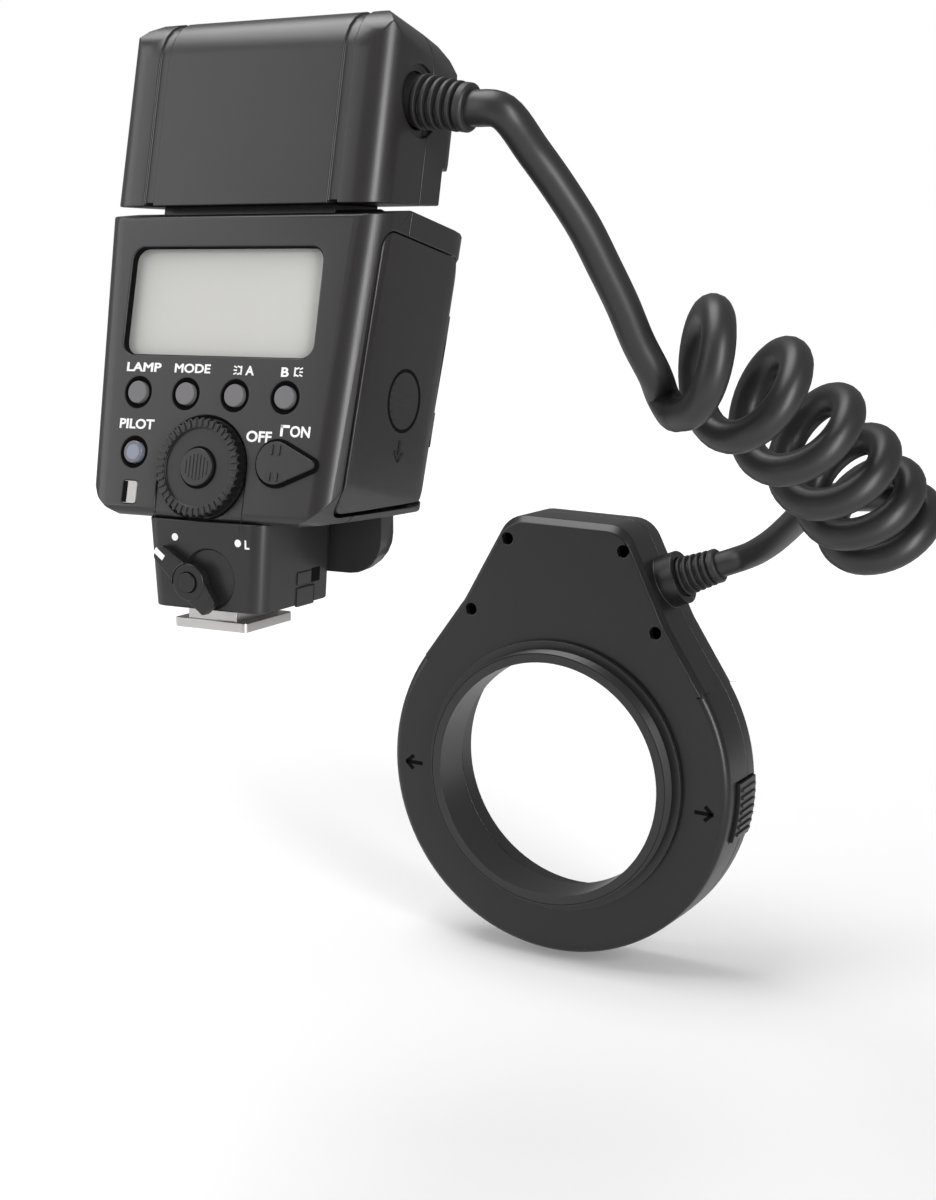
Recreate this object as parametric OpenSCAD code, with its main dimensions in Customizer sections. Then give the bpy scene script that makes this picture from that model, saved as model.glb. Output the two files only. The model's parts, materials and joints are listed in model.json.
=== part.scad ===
// Macro ring flash: a control unit on an accessory shoe, a curly cord and a ring-shaped flash head.
// Millimetres. +Z is up, +Y points at the subject and +X is to the right seen from behind.
// The origin is the middle of the underside of the sliding foot.

/* [Foot and shoe block] */
// Width of the sliding foot
foot_w = 18.6; // [18:0.1:19]
// Length of the sliding foot
foot_l = 18; // [16:0.5:20]
// Thickness of the sliding foot
foot_t = 2; // [1.6:0.1:2.4]
// Width of the neck between foot and block
foot_neck_w = 12.4; // [11:0.1:13]
// Height of the neck between foot and block
foot_neck_h = 2.5; // [2:0.1:3.5]
// Width of the shoe block at its top
block_w = 31; // [28:0.5:34]
// Draft of each side of the shoe block, in degrees
block_draft = 4; // [2:0.5:6]
// Length of the shoe block, front to back
block_l = 28; // [26:0.5:30]
// How far the block's rear face lies behind the middle of the foot
block_back = 10.5; // [10:0.5:12]
// Radius of the block's upright corners
block_corner = 3.5; // [2:0.5:5]
// Sideways place of the lock lever's pivot
lever_x = -2.5; // [-4:0.5:0]
// Height of the lock lever's pivot
lever_z = 10.6; // [10:0.2:12]
// Radius of the lock lever's hub
lever_hub_r = 4; // [3.5:0.1:4.5]
// Reach of the lock lever from its pivot
lever_reach = 10.5; // [9:0.5:11]
// Direction in which the lever points when unlocked, in degrees from +X
lever_angle = 143; // [130:1:150]
// Thickness of the lock lever
lever_t = 2.4; // [2:0.1:3]
// Radius of the lock pin in the foot
lock_pin_r = 1.2; // [1:0.1:1.5]
// Distance of the lock pin in front of the middle of the foot
lock_pin_y = 5.5; // [5:0.5:6.5]

/* [Control unit] */
// Width across the top of the body
unit_w = 71; // [68:0.5:74]
// Draft of each side of the body, in degrees
unit_draft = 3; // [2.5:0.1:4]
// Depth of the body, square to its panel
unit_depth = 45; // [43:0.5:47]
// Forward lean of the body and head, in degrees
unit_lean = 13; // [10:0.5:15]
// Height of the middle of the screen above the foot
screen_z = 69.3; // [68:0.1:72]
// Forward place of the middle of the screen
screen_y = -0.7; // [-2:0.1:0]
// Panel above the middle of the screen
panel_up = 18.4; // [18:0.1:19]
// Panel below the middle of the screen
panel_down = 47; // [46.5:0.1:48]
// Wall of the body
wall = 1.8; // [1.6:0.1:2]
// Radius of the body's rear corners
rear_corner = 6; // [4:0.5:7]
// Radius of the body's front corners
front_corner = 13; // [12:0.5:14]
// Radius of the body's lower corners
low_corner = 13; // [10:0.5:14]
// Depth of the seam between the rear and front shells
seam_y = 13; // [12:0.5:15]
// Gap that shows at a seam
seam_gap = 0.2; // [0.1:0.05:0.3]
// Radius of the front foot of the body that holds the assist lamp
chin_r = 27; // [25:0.5:28]
// Forward place of that foot's middle
chin_y = 15.6; // [15:0.1:17]
// Height of that foot's underside above the shoe
chin_z = 10; // [9:0.5:12]

/* [Head] */
// Width of the head
head_w = 69; // [67:0.5:71]
// Height of the head's underside, at the rear, above the middle of the screen
head_low = 20.8; // [20.6:0.1:21.4]
// Radius of the head's round front
drum_r = 18.5; // [18:0.1:19.5]
// Depth of the cord outlet and of the round front's middle
outlet_y = 13; // [12.5:0.1:14]
// Height of the cord outlet above the middle of the screen
outlet_z = 45.7; // [45:0.1:46.5]
// Depth of the head under its round front
head_depth = 25.4; // [24:0.2:27]
// Radius of the head's rear corners
head_corner = 6.5; // [5:0.5:8]
// Radius of the head's upper edges
head_round = 11; // [9:0.5:12]
// Wall of the head
head_wall = 2; // [1.8:0.1:2.4]
// Depth of the seam between the head's shells
head_seam = 17; // [16:0.5:18]
// Half the width of the panel on the back of the head
head_panel = 22.3; // [21:0.1:25]
// Radius of the main capacitor
capacitor_r = 11.5; // [10:0.5:12]

/* [Controls] */
// Sideways place of the middle of the panel's controls
panel_x = -1.4; // [-2:0.1:0]
// Width of the screen's opening
screen_w = 49; // [46:0.5:50]
// Height of the screen's opening
screen_h = 23.6; // [22:0.2:25]
// Depth of the display behind the panel
screen_deep = 4; // [3.6:0.1:4.2]
// Radius of a push button
button_r = 2.4; // [2.2:0.1:2.7]
// Spacing of the push buttons
button_pitch = 12.6; // [11.5:0.1:13]
// Distance of the button row below the middle of the screen
button_drop = 20; // [19:0.2:21]
// Travel of the push buttons
button_travel = 0.8; // [0.5:0.1:1]
// Radius of the dial
dial_r = 10.6; // [10:0.1:11.2]
// Number of teeth round the dial
dial_teeth = 40; // [30:1:48]
// Distance of the dial below the middle of the screen
dial_drop = 35.7; // [35:0.1:36]
// Radius of the button in the middle of the dial
dial_button_r = 4; // [3.5:0.1:4.5]
// Radius of the power switch
switch_r = 4.5; // [4:0.1:5]
// Reach of the power switch from its pivot
switch_reach = 9.6; // [8.5:0.1:10.5]
// Sideways place of the power switch
switch_x = 17.3; // [16.5:0.1:18]
// Distance of the power switch below the middle of the screen
switch_drop = 33.8; // [33:0.1:35]
// Sideways place of the test button and of the indicator below it
test_x = -19.6; // [-21:0.1:-19]
// Distance of the test button below the middle of the screen
test_drop = 33; // [32:0.1:34]
// Distance of the indicator below the middle of the screen
indicator_drop = 41.7; // [41:0.1:42]
// Radial clearance of a running fit
fit = 0.05; // [0.02:0.01:0.08]

/* [Battery compartment] */
// Radius of a cell
cell_r = 7.2; // [7:0.05:7.25]
// Length of a cell
cell_l = 50.3; // [49:0.1:50.5]
// Depth of the door's rear edge
door_rear = 4; // [3.5:0.1:5]
// Depth of the door's front edge
door_front = 38.3; // [38:0.1:38.4]
// Gap round the door
door_gap = 0.3; // [0.2:0.05:0.4]
// Radius of the thumb grip on the door
grip_r = 6.4; // [5.5:0.1:7]
// Radius of the door's hinge pin
hinge_pin_r = 0.75; // [0.6:0.05:0.8]
// Radius of the door's knuckles
knuckle_r = 1.6; // [1.5:0.05:1.7]

/* [Ring head] */
// Radius of the ring head
ring_r = 56; // [55:0.5:58]
// Depth of the ring head without its lamp covers
ring_depth = 22; // [21.5:0.1:23]
// Radius of the opening through the ring head
ring_bore = 39.6; // [39.4:0.1:40.2]
// Forward place of the ring head's rear face
ring_y = 164.8; // [160:0.2:170]
// Height of the optical axis against the shoe
ring_z = -73.3; // [-76:0.1:-70]
// Turn of the ring head about the optical axis, in degrees
ring_roll = 2; // [0:0.5:3]
// Height of the ring head's top above the optical axis
bump_h = 77.5; // [76:0.5:79]
// Half the width of the ring head's top, between its rounded corners
bump_w = 19; // [18:0.5:20]
// Depth of the ring head's seam
ring_seam = 15.2; // [15:0.1:15.6]
// Wall of the ring head
ring_wall = 1.6; // [1.4:0.1:1.8]
// Travel of the release buttons
release_travel = 1.5; // [1.3:0.1:1.6]
// Radius of the adapter's lens thread
thread_r = 38.5; // [37.5:0.5:38.5]
// Length of the adapter's lens thread
thread_l = 4.5; // [3.5:0.5:6]
// Clear radius inside the adapter
adapter_bore = 35.6; // [34:0.2:36]
// Radius of a flash tube
tube_r = 2.2; // [1.8:0.1:2.4]

/* [Cord] */
// Thickness of the cord
cord_d = 7.6; // [7:0.1:8]
// Radius of a strain relief's first rib
relief_r = 5.8; // [5.5:0.1:6.1]
// Length of a strain relief outside its housing
relief_l = 12; // [11:0.5:13]
// Ribs on a strain relief
relief_ribs = 5; // [4:1:6]
// Droop of the head's strain relief, in degrees
relief_droop = 9; // [0:0.5:10]
// Turns in the curly part
coil_turns = 5.5; // [5.4:0.05:5.6]
// Radius of the first curl, to the middle of the cord
coil_r_first = 11.8; // [11.4:0.1:12.2]
// Radius of the last curl, to the middle of the cord
coil_r_last = 11.2; // [10.8:0.1:11.6]
// How far the curls by the head are pulled apart, against those by the ring
coil_open = 1.3; // [1:0.05:1.4]
// Lean of the first curl against the way of the cord, in degrees
coil_lean = 21; // [15:1:25]

/* [Hidden] */
$fn = 64;

// Colours of the mouldings and metals
plastic = "#4a484c";
dark_plastic = "#2b2a2c";
black = "#1c1c1d";
rubber = "#252527";
steel = "#b9b9bd";

// Small overlap that keeps a cut clear of the face it starts from
eps = 0.5;
arc_steps = 6;

// Body: sides that draw in downwards, and an underside that is level
rise = tan(unit_lean);
shoulder_y = 12.5;
shoulder_z = panel_up + 3.9;
top_front = panel_up + 5.2;
half_w = unit_w / 2 - top_front * tan(unit_draft);
unit_low_z = screen_z - panel_down * cos(unit_lean);
block_z0 = foot_t + foot_neck_h;

// Head, chin and lock
head_front_corner = 6;
capacitor_y = outlet_y + 0.8;
capacitor_z = outlet_z - 2.5;
window_y = 12;
chin_back = 3;
lever_gap = 0.3;
lever_shaft_r = 1.5;
lock_button_r = 2.1;

// Layers behind the panel
board_y = screen_deep + 1.4;
board_t = 1.4;
cage_y = board_y + board_t + 0.5;
cage_t = 0.8;
cell_gap = 0.2;
cell_low = 13.5 - panel_down;
cell_pitch = 2 * cell_r + cell_gap;
cell_inset = 12.8;
cell_x = half_w - cell_inset;
cell_y = cage_y + cage_t + cell_gap + cell_r;

// Door hinge, on the round front corner of the body
hinge_turn = 40;
hinge_inset = knuckle_r;
hinge_x = half_w - front_corner + (front_corner - hinge_inset) * cos(hinge_turn);
hinge_y = unit_depth - front_corner + (front_corner - hinge_inset) * sin(hinge_turn);
hinge_cove = 3.8;
cove_end = 6;
lug_len = 6;
knuckle_len = 7.6;
hinge_low = -30;
hinge_high = 12;
knuckle_gap = 0.4;
door_corner = 4;
door_low = 1.8 - panel_down;
door_sink = 0.6;
door_high = panel_up - 2.2;
door_climb = 1.4;
grip_y = 21.6;
grip_z = -16.5;

// Ring head: lamps between two walls, and the release sliders below them
ring_floor = 2;
slider_y = ring_floor + 0.3;
slider_t = 1.4;
slider_in = ring_bore + ring_wall + release_travel + 0.5;
slider_out = slider_in + 2.6;
reflector_y = 8;
reflector_t = 0.8;
lamp_in = ring_bore + ring_wall + 0.2;
lamp_out = ring_r - 4.6;
knob_in = lamp_out + release_travel + 0.4;
knob_out = ring_r + 1.4;
knob_h = 18;
knob_drop = 4;
knob_y0 = 6.2;
knob_y1 = 19.6;
claw_z = 10.2;
claw_w = 3.2;
ring_skin = 1.8;
bump_slant = 2;
lamp_span = 150;
lamp_dome = 2.6;
spoke = 1.4;
boss_r = 2.6;
slot_gap = 0.3;
collar_r = ring_bore - 0.35;
groove_r = collar_r - 1.2;
claw_r = groove_r + 0.4;
flange_r = ring_bore + 1.8;
flange_t = 1.7;
hip_out = 4;
hip_way = [cos(56.2), sin(56.2)];
hip = (ring_r + hip_out) * hip_way;
screw_high = [bump_w - 0.3, bump_h - 7.3];
screw_low = (ring_r + 0.15) * [cos(57.6), sin(57.6)];
screw_places = [for (p = [screw_high, screw_low], s = [1, -1]) [s * p.x, p.y]];
screw_hole_r = 1.8;
tower_r = 3;
tower_top = 9;
boss_top = ring_depth - 2;
shank_r = 1;
relief_at = hip + 0.384 * ([bump_w, bump_h] - hip);
relief_y = ring_seam - 2;
relief_turn = atan2(hip.x - bump_w, bump_h - hip.y) - 4.5;
relief_boss_r = 8;
relief_boss_h = 5.5;
relief_step = 0.5;
relief_hold = 1.1;

// Cord route: points chosen by hand, from the head to the curls and from the ring to the curls
lead_points = [[58.3, 27.8, 100.1], [62.1, 32, 93.1], [66, 36.4, 85], [68.9, 40.4, 76.9],
    [71.6, 44.3, 68.9], [73.9, 48, 60.7], [76.4, 51.6, 53.7]];
tail_points = [[58.6, 174.6, -2.3], [65, 168.6, 1.7], [71.6, 160.6, 6.5], [80.5, 148, 13],
    [90.3, 135.2, 18.2], [97.4, 127.8, 20.2], [104.6, 121.4, 21.4]];
coil_axis = [[81.2, 49.3, 57.7], [99.3, 68.1, 52.7], [114.2, 105.9, 14.9]];
coil_start = 0.01;
coil_ease = 1.6;
coil_rings = 16;
cord_sides = 8;
cord_steps = 3;

function rim_points(a, p, b, r, n) =
    let (u = (a - p) / norm(a - p), w = (b - p) / norm(b - p), half = acos(u * w) / 2)
    let (c = p + (u + w) / norm(u + w) * r / sin(half), s = p + u * r / tan(half) - c)
    let (e = p + w * r / tan(half) - c, from = atan2(s.y, s.x))
    let (turn = (atan2(e.y, e.x) - from + 540) % 360 - 180)
    [for (i = [0 : n]) c + r * [cos(from + turn * i / n), sin(from + turn * i / n)]];

// An outline from corners given as [x, y, radius]
function rounded(pts, n = arc_steps) =
    let (k = len(pts), flat = [for (p = pts) [p.x, p.y]])
    [for (i = [0 : k - 1])
        each pts[i][2] > 0
            ? rim_points(flat[(i + k - 1) % k], flat[i], flat[(i + 1) % k], pts[i][2], n)
            : [flat[i]]];

// A rectangle with round corners, from its middle
function round_rect(x, y, w, h, r) = rounded([[x - w / 2, y - h / 2, r], [x + w / 2, y - h / 2, r],
    [x + w / 2, y + h / 2, r], [x - w / 2, y + h / 2, r]]);

module along_x(pts, x0, x1) {
    translate([x0, 0, 0]) rotate([90, 0, 90]) linear_extrude(x1 - x0) polygon(pts);
}

module along_y(pts, y0, y1) {
    translate([0, y1, 0]) rotate([90, 0, 0]) linear_extrude(y1 - y0) polygon(pts);
}

module rod_y(x, z, r, y0, y1) {
    translate([x, y0, z]) rotate([-90, 0, 0]) cylinder(r = r, h = y1 - y0);
}

module rod_x(y, z, r, x0, x1) {
    translate([x0, y, z]) rotate([0, 90, 0]) cylinder(r = r, h = x1 - x0);
}

// The frame of the body and head: x across, y square to the panel and z up along it
module leaned() {
    translate([0, screen_y, screen_z]) rotate([-unit_lean, 0, 0]) children();
}

module tapered_side(half, draft, y0, y1, r0, r1) {
    reach = 150;
    translate([half, 0, 0]) rotate([0, draft, 0]) translate([0, 0, -reach]) linear_extrude(2 * reach)
        polygon(rounded([[-reach, y0, 0], [0, y0, r0], [0, y1, r1], [-reach, y1, 0]]));
}

// A block with drafted sides and round upright corners
module tapered_plan(half, draft, y0, y1, r0, r1) {
    intersection() {
        tapered_side(half, draft, y0, y1, r0, r1);
        mirror([1, 0, 0]) tapered_side(half, draft, y0, y1, r0, r1);
    }
}

function unit_side(i) =
    let (slope = (shoulder_z - panel_up) / shoulder_y, low = i / cos(unit_lean) - panel_down)
    rounded([[i, low + i * rise, max(2 - i, 0.4)],
        [i, panel_up + i * slope - i * sqrt(1 + slope * slope), max(1.2 - i, 0.2)],
        [shoulder_y, shoulder_z - i, 6],
        [unit_depth - i, top_front - i, 4 - i],
        [unit_depth - i, low + (unit_depth - i) * rise, 8 - i]]);

function unit_front(i) =
    let (low = half_w - i - (panel_down - i) * tan(unit_draft), over = 2 * panel_up)
    let (high = half_w - i + over * tan(unit_draft))
    rounded([[-low, i - panel_down, low_corner - i], [low, i - panel_down, low_corner - i],
        [high, over, 0], [-high, over, 0]]);

// The body's outer form, or its hollow when drawn in by i
module unit_form(i = 0) {
    intersection() {
        along_x(unit_side(i), -unit_w, unit_w);
        tapered_plan(half_w - i, unit_draft, i, unit_depth - i, max(rear_corner - i, 0.5), front_corner - i);
        along_y(unit_front(i), -1, unit_depth + 1);
    }
}

module depth_slice(y0, y1) {
    translate([-100, y0, -100]) cube([200, y1 - y0, 200]);
}

// The door's outline, grown by g, with its lower edge raised and its upper front corner rounder by lift
function door_outline(g, lift) =
    let (low = door_low + lift)
    rounded([
        [door_rear - g, low + door_rear * rise - g, door_corner + g],
        [door_rear - g, door_high + g, door_corner + g],
        [door_front + g, door_high + door_climb + g, door_corner + g + lift],
        [door_front + g, low + door_front * rise - g, door_corner + g]]);

// Everything under the door's outline, on the door's side of the body
module door_cut(g, lift = 0) {
    along_x(door_outline(g, lift), unit_w / 5, unit_w);
}

module at_hinge() {
    translate([hinge_x, hinge_y, 0]) rotate([0, unit_draft, 0]) children();
}

// A rod on the hinge's axis, longer than the hinge by extra at each end
module hinge_rod(r, extra) {
    at_hinge() translate([0, 0, hinge_low - extra]) cylinder(r = r, h = hinge_high - hinge_low + 2 * extra);
}

// Places of the buttons along their row
function button_x(i) = panel_x + (i - 1.5) * button_pitch;

module button_seat(x, z) {
    rod_y(x, z, button_r + fit, -eps, wall + eps);
    translate([x, -0.01, z]) rotate([-90, 0, 0]) cylinder(r1 = button_r + 1.1, r2 = button_r + 0.4, h = 0.7);
}

function indicator_pane(extra) =
    round_rect(test_x, -indicator_drop, 3.5 + extra, 4.8 + extra, 0.6);

// Posts that carry the main board, drawn in from the body's sides and beside the indicator
post_top = panel_up - 3.8;
post_low = 8.2 - panel_down;
board_posts = [[half_w - 4.5, post_top], [3.6 - half_w, post_top], [half_w - 10.1, post_low],
    [test_x - 4.3, post_low]];

// The shallow step that runs from the dial to the panel's lower edge
module dial_apron() {
    half = dial_r + 0.7;
    translate([panel_x - half, -eps, -panel_down - 1])
        cube([2 * half, eps + 0.4, panel_down - dial_drop + 1]);
}

module rear_shell() {
    color(plastic) leaned() {
        difference() {
            intersection() {
                unit_form();
                depth_slice(-eps, seam_y - seam_gap / 2);
            }
            unit_form(wall);
            along_y(round_rect(panel_x, 0, screen_w, screen_h, 3), -eps, wall + eps);
            for (i = [0 : 3]) button_seat(button_x(i), -button_drop);
            button_seat(test_x, -test_drop);
            rod_y(panel_x, -dial_drop, dial_r + 0.7, -eps, 0.8);
            dial_apron();
            rod_y(panel_x, -dial_drop, 3 + fit, -eps, wall + eps);
            rod_y(switch_x, -switch_drop, 2 + fit, -eps, wall + eps);
            along_y(indicator_pane(0.1), -eps, wall + eps);
            door_cut(door_gap);
        }
        for (p = board_posts) rod_y(p.x, p.y, 1.6, wall - 0.2, board_y);
    }
}

module front_shell() {
    color(plastic) leaned() difference() {
        union() {
            difference() {
                intersection() {
                    unit_form();
                    depth_slice(seam_y + seam_gap / 2, unit_depth + eps);
                }
                unit_form(wall);
                door_cut(door_gap);
                hinge_rod(hinge_cove, cove_end);
            }
            for (z = [hinge_low, hinge_high - lug_len]) hinge_lug(z);
        }
        hinge_rod(hinge_pin_r + 0.03, 1);
    }
}

module hinge_lug(z) {
    at_hinge() translate([0, 0, z]) {
        cylinder(r = knuckle_r, h = lug_len);
        rotate([0, 0, hinge_turn + 90]) translate([0, -1, 0]) cube([4.6, 2, lug_len]);
    }
}

module door_hinge_pin() {
    color(steel) leaned() hinge_rod(hinge_pin_r, 0);
}

module door_knuckle(z) {
    at_hinge() translate([0, 0, z]) {
        cylinder(r = knuckle_r, h = knuckle_len);
        rotate([0, 0, -40]) translate([0, -0.9, 0]) cube([2.6, 1.8, knuckle_len]);
    }
}

// The door sinks a little and comes forward as it swings on its leaning pin, so it has room of door_sink
module battery_door() {
    knuckles = [hinge_low + lug_len + knuckle_gap, hinge_high - lug_len - knuckle_gap - knuckle_len];
    color(plastic) leaned() difference() {
        union() {
            difference() {
                intersection() {
                    unit_form();
                    door_cut(0, door_sink);
                }
                unit_form(wall);
                grip_face() cylinder(r = grip_r, h = 3);
            }
            grip_face() translate([0, 0, -0.3]) grip_ribs();
            for (z = knuckles) door_knuckle(z);
        }
        hinge_rod(hinge_pin_r + fit, 0);
        for (z = [hinge_low, hinge_high - lug_len]) at_hinge() translate([0, 0, z - knuckle_gap / 2])
            cylinder(r = knuckle_r + door_gap, h = lug_len + knuckle_gap);
    }
}

// The floor of the thumb grip, just under the door's surface
module grip_face() {
    depth = 0.8;
    translate([half_w, 0, 0]) rotate([0, unit_draft, 0]) translate([-depth, grip_y, grip_z])
        rotate([0, 90, 0]) children();
}

module grip_ribs() {
    pitch = 1.7;
    for (i = [-3 : 3]) {
        reach = sqrt(pow(grip_r - 0.5, 2) - pow(i * pitch, 2));
        translate([-reach, i * pitch - 0.4, 0]) cube([2 * reach, 0.8, 0.9]);
    }
}

// A pane behind the panel, kept clear of the body's sides
module pane_behind(pts, y0, y1) {
    gap = 0.1;
    half = half_w - wall - gap;
    front = unit_depth - wall;
    intersection() {
        along_y(pts, y0, y1);
        along_y(unit_front(wall + gap), y0 - gap, y1 + gap);
        along_x(unit_side(wall + gap), -unit_w, unit_w);
        tapered_plan(half, unit_draft, wall, front, rear_corner - wall, front_corner - wall);
    }
}

module screen_window() {
    pane = round_rect(panel_x, 0, screen_w + 2, screen_h + 3.6, 2);
    color("#9aa0a3") leaned() pane_behind(pane, wall, wall + 1);
}

module screen_module() {
    pane = round_rect(panel_x, 0, screen_w + 3, screen_h + 3, 0.6);
    color("#c6c4be") leaned() pane_behind(pane, screen_deep, board_y);
}

module indicator_window() {
    color("#35302f") leaned() {
        along_y(indicator_pane(0), -0.1, wall + 0.5);
        pane_behind(indicator_pane(1), wall, wall + 0.9);
    }
}

module main_board() {
    low = 4 - panel_down;
    high = panel_up - 2;
    low_half = half_w - 5.6;
    corner = low_corner - 2;
    outline = rounded([[-low_half, low, corner], [low_half, low, corner], [half_w - 3.1, high, 2],
        [2.3 - half_w, high, 2]]);
    color("#2f5a41") leaned() along_y(outline, board_y, board_y + board_t);
}

// Push buttons: a cap through the panel, a flange behind it and a stem to the board
module push_button(x, z, colour) {
    color(colour) leaned() {
        rod_y(x, z, button_r, -0.5, wall + 0.3);
        rod_y(x, z, button_r + 0.7, wall + 0.1, wall + 0.7);
        rod_y(x, z, 1, wall + 0.3, board_y - button_travel - 0.3);
    }
}

module lamp_button() {
    push_button(button_x(0), -button_drop, "#58565a");
}

module mode_button() {
    push_button(button_x(1), -button_drop, "#58565a");
}

module ratio_button() {
    push_button(button_x(2), -button_drop, "#58565a");
}

module balance_button() {
    push_button(button_x(3), -button_drop, "#58565a");
}

module test_button() {
    push_button(test_x, -test_drop, "#6b3a38");
}

function gear_rim(r, teeth, deep) = [for (i = [0 : 4 * teeth - 1])
    let (a = 90 * i / teeth, s = i % 4 < 2 ? r : r - deep) s * [cos(a), sin(a)]];

module dial() {
    color(black) leaned() translate([panel_x, 0, -dial_drop]) rotate([-90, 0, 0]) difference() {
        union() {
            translate([0, 0, -1.9]) linear_extrude(2.4) polygon(gear_rim(dial_r, dial_teeth, 0.5));
            cylinder(r = 3, h = wall + 1.4);
            translate([0, 0, wall + 0.1]) cylinder(r = 3.6, h = 1.3);
        }
        translate([0, 0, -3]) cylinder(r = dial_r - 2.2, h = 1.7);
        translate([0, 0, -2]) cylinder(r = dial_button_r + fit, h = 1.9);
        cylinder(r = 1.5 + fit, h = 10, center = true);
    }
}

module dial_button() {
    color("#3a393b") leaned() translate([panel_x, 0, -dial_drop]) rotate([-90, 0, 0]) {
        translate([0, 0, -2.2]) cylinder(r = dial_button_r, h = 1.4);
        translate([0, 0, -1]) cylinder(r = 1.5, h = board_y - 0.3 - button_travel + 1);
    }
}

module power_switch() {
    color(dark_plastic) leaned() translate([switch_x, 0, -switch_drop]) rotate([-90, 0, 0]) {
        translate([0, 0, -2]) linear_extrude(1.7) union() {
            circle(switch_r);
            polygon([[1.2, -switch_r * 0.96], [switch_reach - 0.6, -1.2], [switch_reach, -0.5],
                [switch_reach, 0.5], [switch_reach - 0.6, 1.2], [1.2, switch_r * 0.96]]);
        }
        translate([-switch_r + 0.8, -0.5, -2.6]) cube([switch_reach + switch_r - 1.6, 1, 0.8]);
        translate([0, 0, -1]) cylinder(r = 2, h = wall + 2);
        translate([0, 0, wall + 0.1]) cylinder(r = 2.6, h = 1);
    }
}

module battery_cage() {
    x0 = cell_x - cell_pitch - cell_r - cell_gap;
    y1 = cell_y + cell_pitch + cell_r + cell_gap;
    z0 = cell_low - 0.4;
    z1 = cell_low + cell_l + 0.4;
    size = [cell_x + 3 - x0, y1 + cage_t - cage_y, z1 - z0 + 2 * cage_t];
    foot_y = unit_depth - wall;
    color("#3c4247") leaned() difference() {
        union() {
            translate([x0 - cage_t, cage_y, z0 - cage_t]) cube(size);
            for (z = [z0 + 8, z1 - 12]) translate([x0 + 2, y1, z]) cube([10, foot_y - y1, 4]);
        }
        translate([x0, cage_y + cage_t, z0]) cube([60, y1 - cage_y - cage_t, z1 - z0]);
    }
}

module battery_cell(column, row, up) {
    nub = 1.2;
    at = [cell_x - column * cell_pitch, cell_y + row * cell_pitch, cell_low + (up ? 0 : cell_l)];
    color("#7d8a94") leaned() translate(at) rotate([up ? 0 : 180, 0, 0]) {
        cylinder(r = cell_r, h = cell_l - nub);
        translate([0, 0, cell_l - nub - 0.2]) cylinder(r = 2.6, h = nub + 0.2);
    }
}

module battery_cell_1() {
    battery_cell(0, 0, true);
}

module battery_cell_2() {
    battery_cell(0, 1, false);
}

module battery_cell_3() {
    battery_cell(1, 0, false);
}

module battery_cell_4() {
    battery_cell(1, 1, true);
}

module battery_contacts() {
    t = 0.3;
    color(steel) leaned() for (column = [0, 1], z = [cell_low - 0.4, cell_low + cell_l + 0.4 - t])
        translate([cell_x - column * cell_pitch - 3, cell_y - 4, z]) cube([6, cell_pitch + 8, t]);
}

// Head: a block with a round front about the cord outlet
function head_side(i) =
    let (top = outlet_z + drum_r - i, cut = -36, n = 16, low = head_low + i / cos(unit_lean))
    concat([[i, low + i * rise]],
        rim_points([i, low], [i, top], [outlet_y, top], head_round - i, arc_steps),
        [for (k = [0 : n]) let (a = 90 + (cut - 90) * k / n)
            [outlet_y, outlet_z] + (drum_r - i) * [cos(a), sin(a)]],
        [[head_depth - i, outlet_z + drum_r * sin(cut) - i],
            [head_depth - i, low + (head_depth - i) * rise]]);

module head_form(i = 0) {
    half = head_w / 2 - i;
    top = outlet_z + drum_r - i;
    front = outlet_y + drum_r + 0.3 - i;
    plan = [[-half, i, head_corner - i], [half, i, head_corner - i],
        [half, front, head_front_corner - i], [-half, front, head_front_corner - i]];
    face = [[-half, 0, 0], [half, 0, 0], [half, top, head_round - i], [-half, top, head_round - i]];
    intersection() {
        along_x(head_side(i), -head_w, head_w);
        linear_extrude(100) polygon(rounded(plan));
        along_y(rounded(face), -1, 61);
    }
}

// Channels on both sides of the panel on the back of the head
module head_channels() {
    deep = 0.6;
    width = 2.4;
    for (x = [head_panel, -head_panel - width]) difference() {
        along_x(head_side(-1), x, x + width);
        along_x(head_side(deep), x - 1, x + width + 1);
        depth_slice(head_seam - 4, 80);
    }
}

module at_outlet() {
    translate([head_w / 2, outlet_y, outlet_z]) rotate([0, 90 + relief_droop, 0]) children();
}

module outlet_hole() {
    deep = 1.1;
    at_outlet() translate([0, 0, -head_wall - 3]) cylinder(r = relief_r + 0.1, h = 20);
    rod_x(outlet_y, outlet_z, relief_r + 1.8, head_w / 2 - deep, head_w);
}

module head_rear_shell() {
    cradle_x = 15;
    color(plastic) leaned() {
        difference() {
            intersection() {
                head_form();
                depth_slice(-2, head_seam - seam_gap / 2);
            }
            head_form(head_wall);
            head_channels();
            outlet_hole();
        }
        for (x = [-cradle_x, cradle_x]) difference() {
            translate([x - 1, head_wall - 0.2, outlet_z - 16]) cube([2, 8, 27]);
            rod_x(capacitor_y, capacitor_z, capacitor_r + fit, x - 5, x + 5);
        }
    }
}

module head_front_shell() {
    color(plastic) leaned() difference() {
        intersection() {
            head_form();
            depth_slice(head_seam + seam_gap / 2, 80);
        }
        head_form(head_wall);
        outlet_hole();
    }
}

module main_capacitor() {
    from = 7 - head_w / 2;
    to = head_w / 2 - 12;
    color("#31404e") leaned() rod_x(capacitor_y, capacitor_z, capacitor_r, from, to);
}

// The stub that carries the head, filling part of the gap above the body
module neck_block() {
    y0 = 4;
    y1 = 21;
    half = 22;
    slope = (shoulder_z - panel_up) / shoulder_y;
    fall = (top_front - shoulder_z) / (unit_depth - shoulder_y);
    side = [[y0, panel_up + y0 * slope], [shoulder_y, shoulder_z],
        [y1, shoulder_z + (y1 - shoulder_y) * fall], [y1, head_low + y1 * rise], [y0, head_low + y0 * rise]];
    color(black) leaned() along_x(side, -half, half);
}

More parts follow.
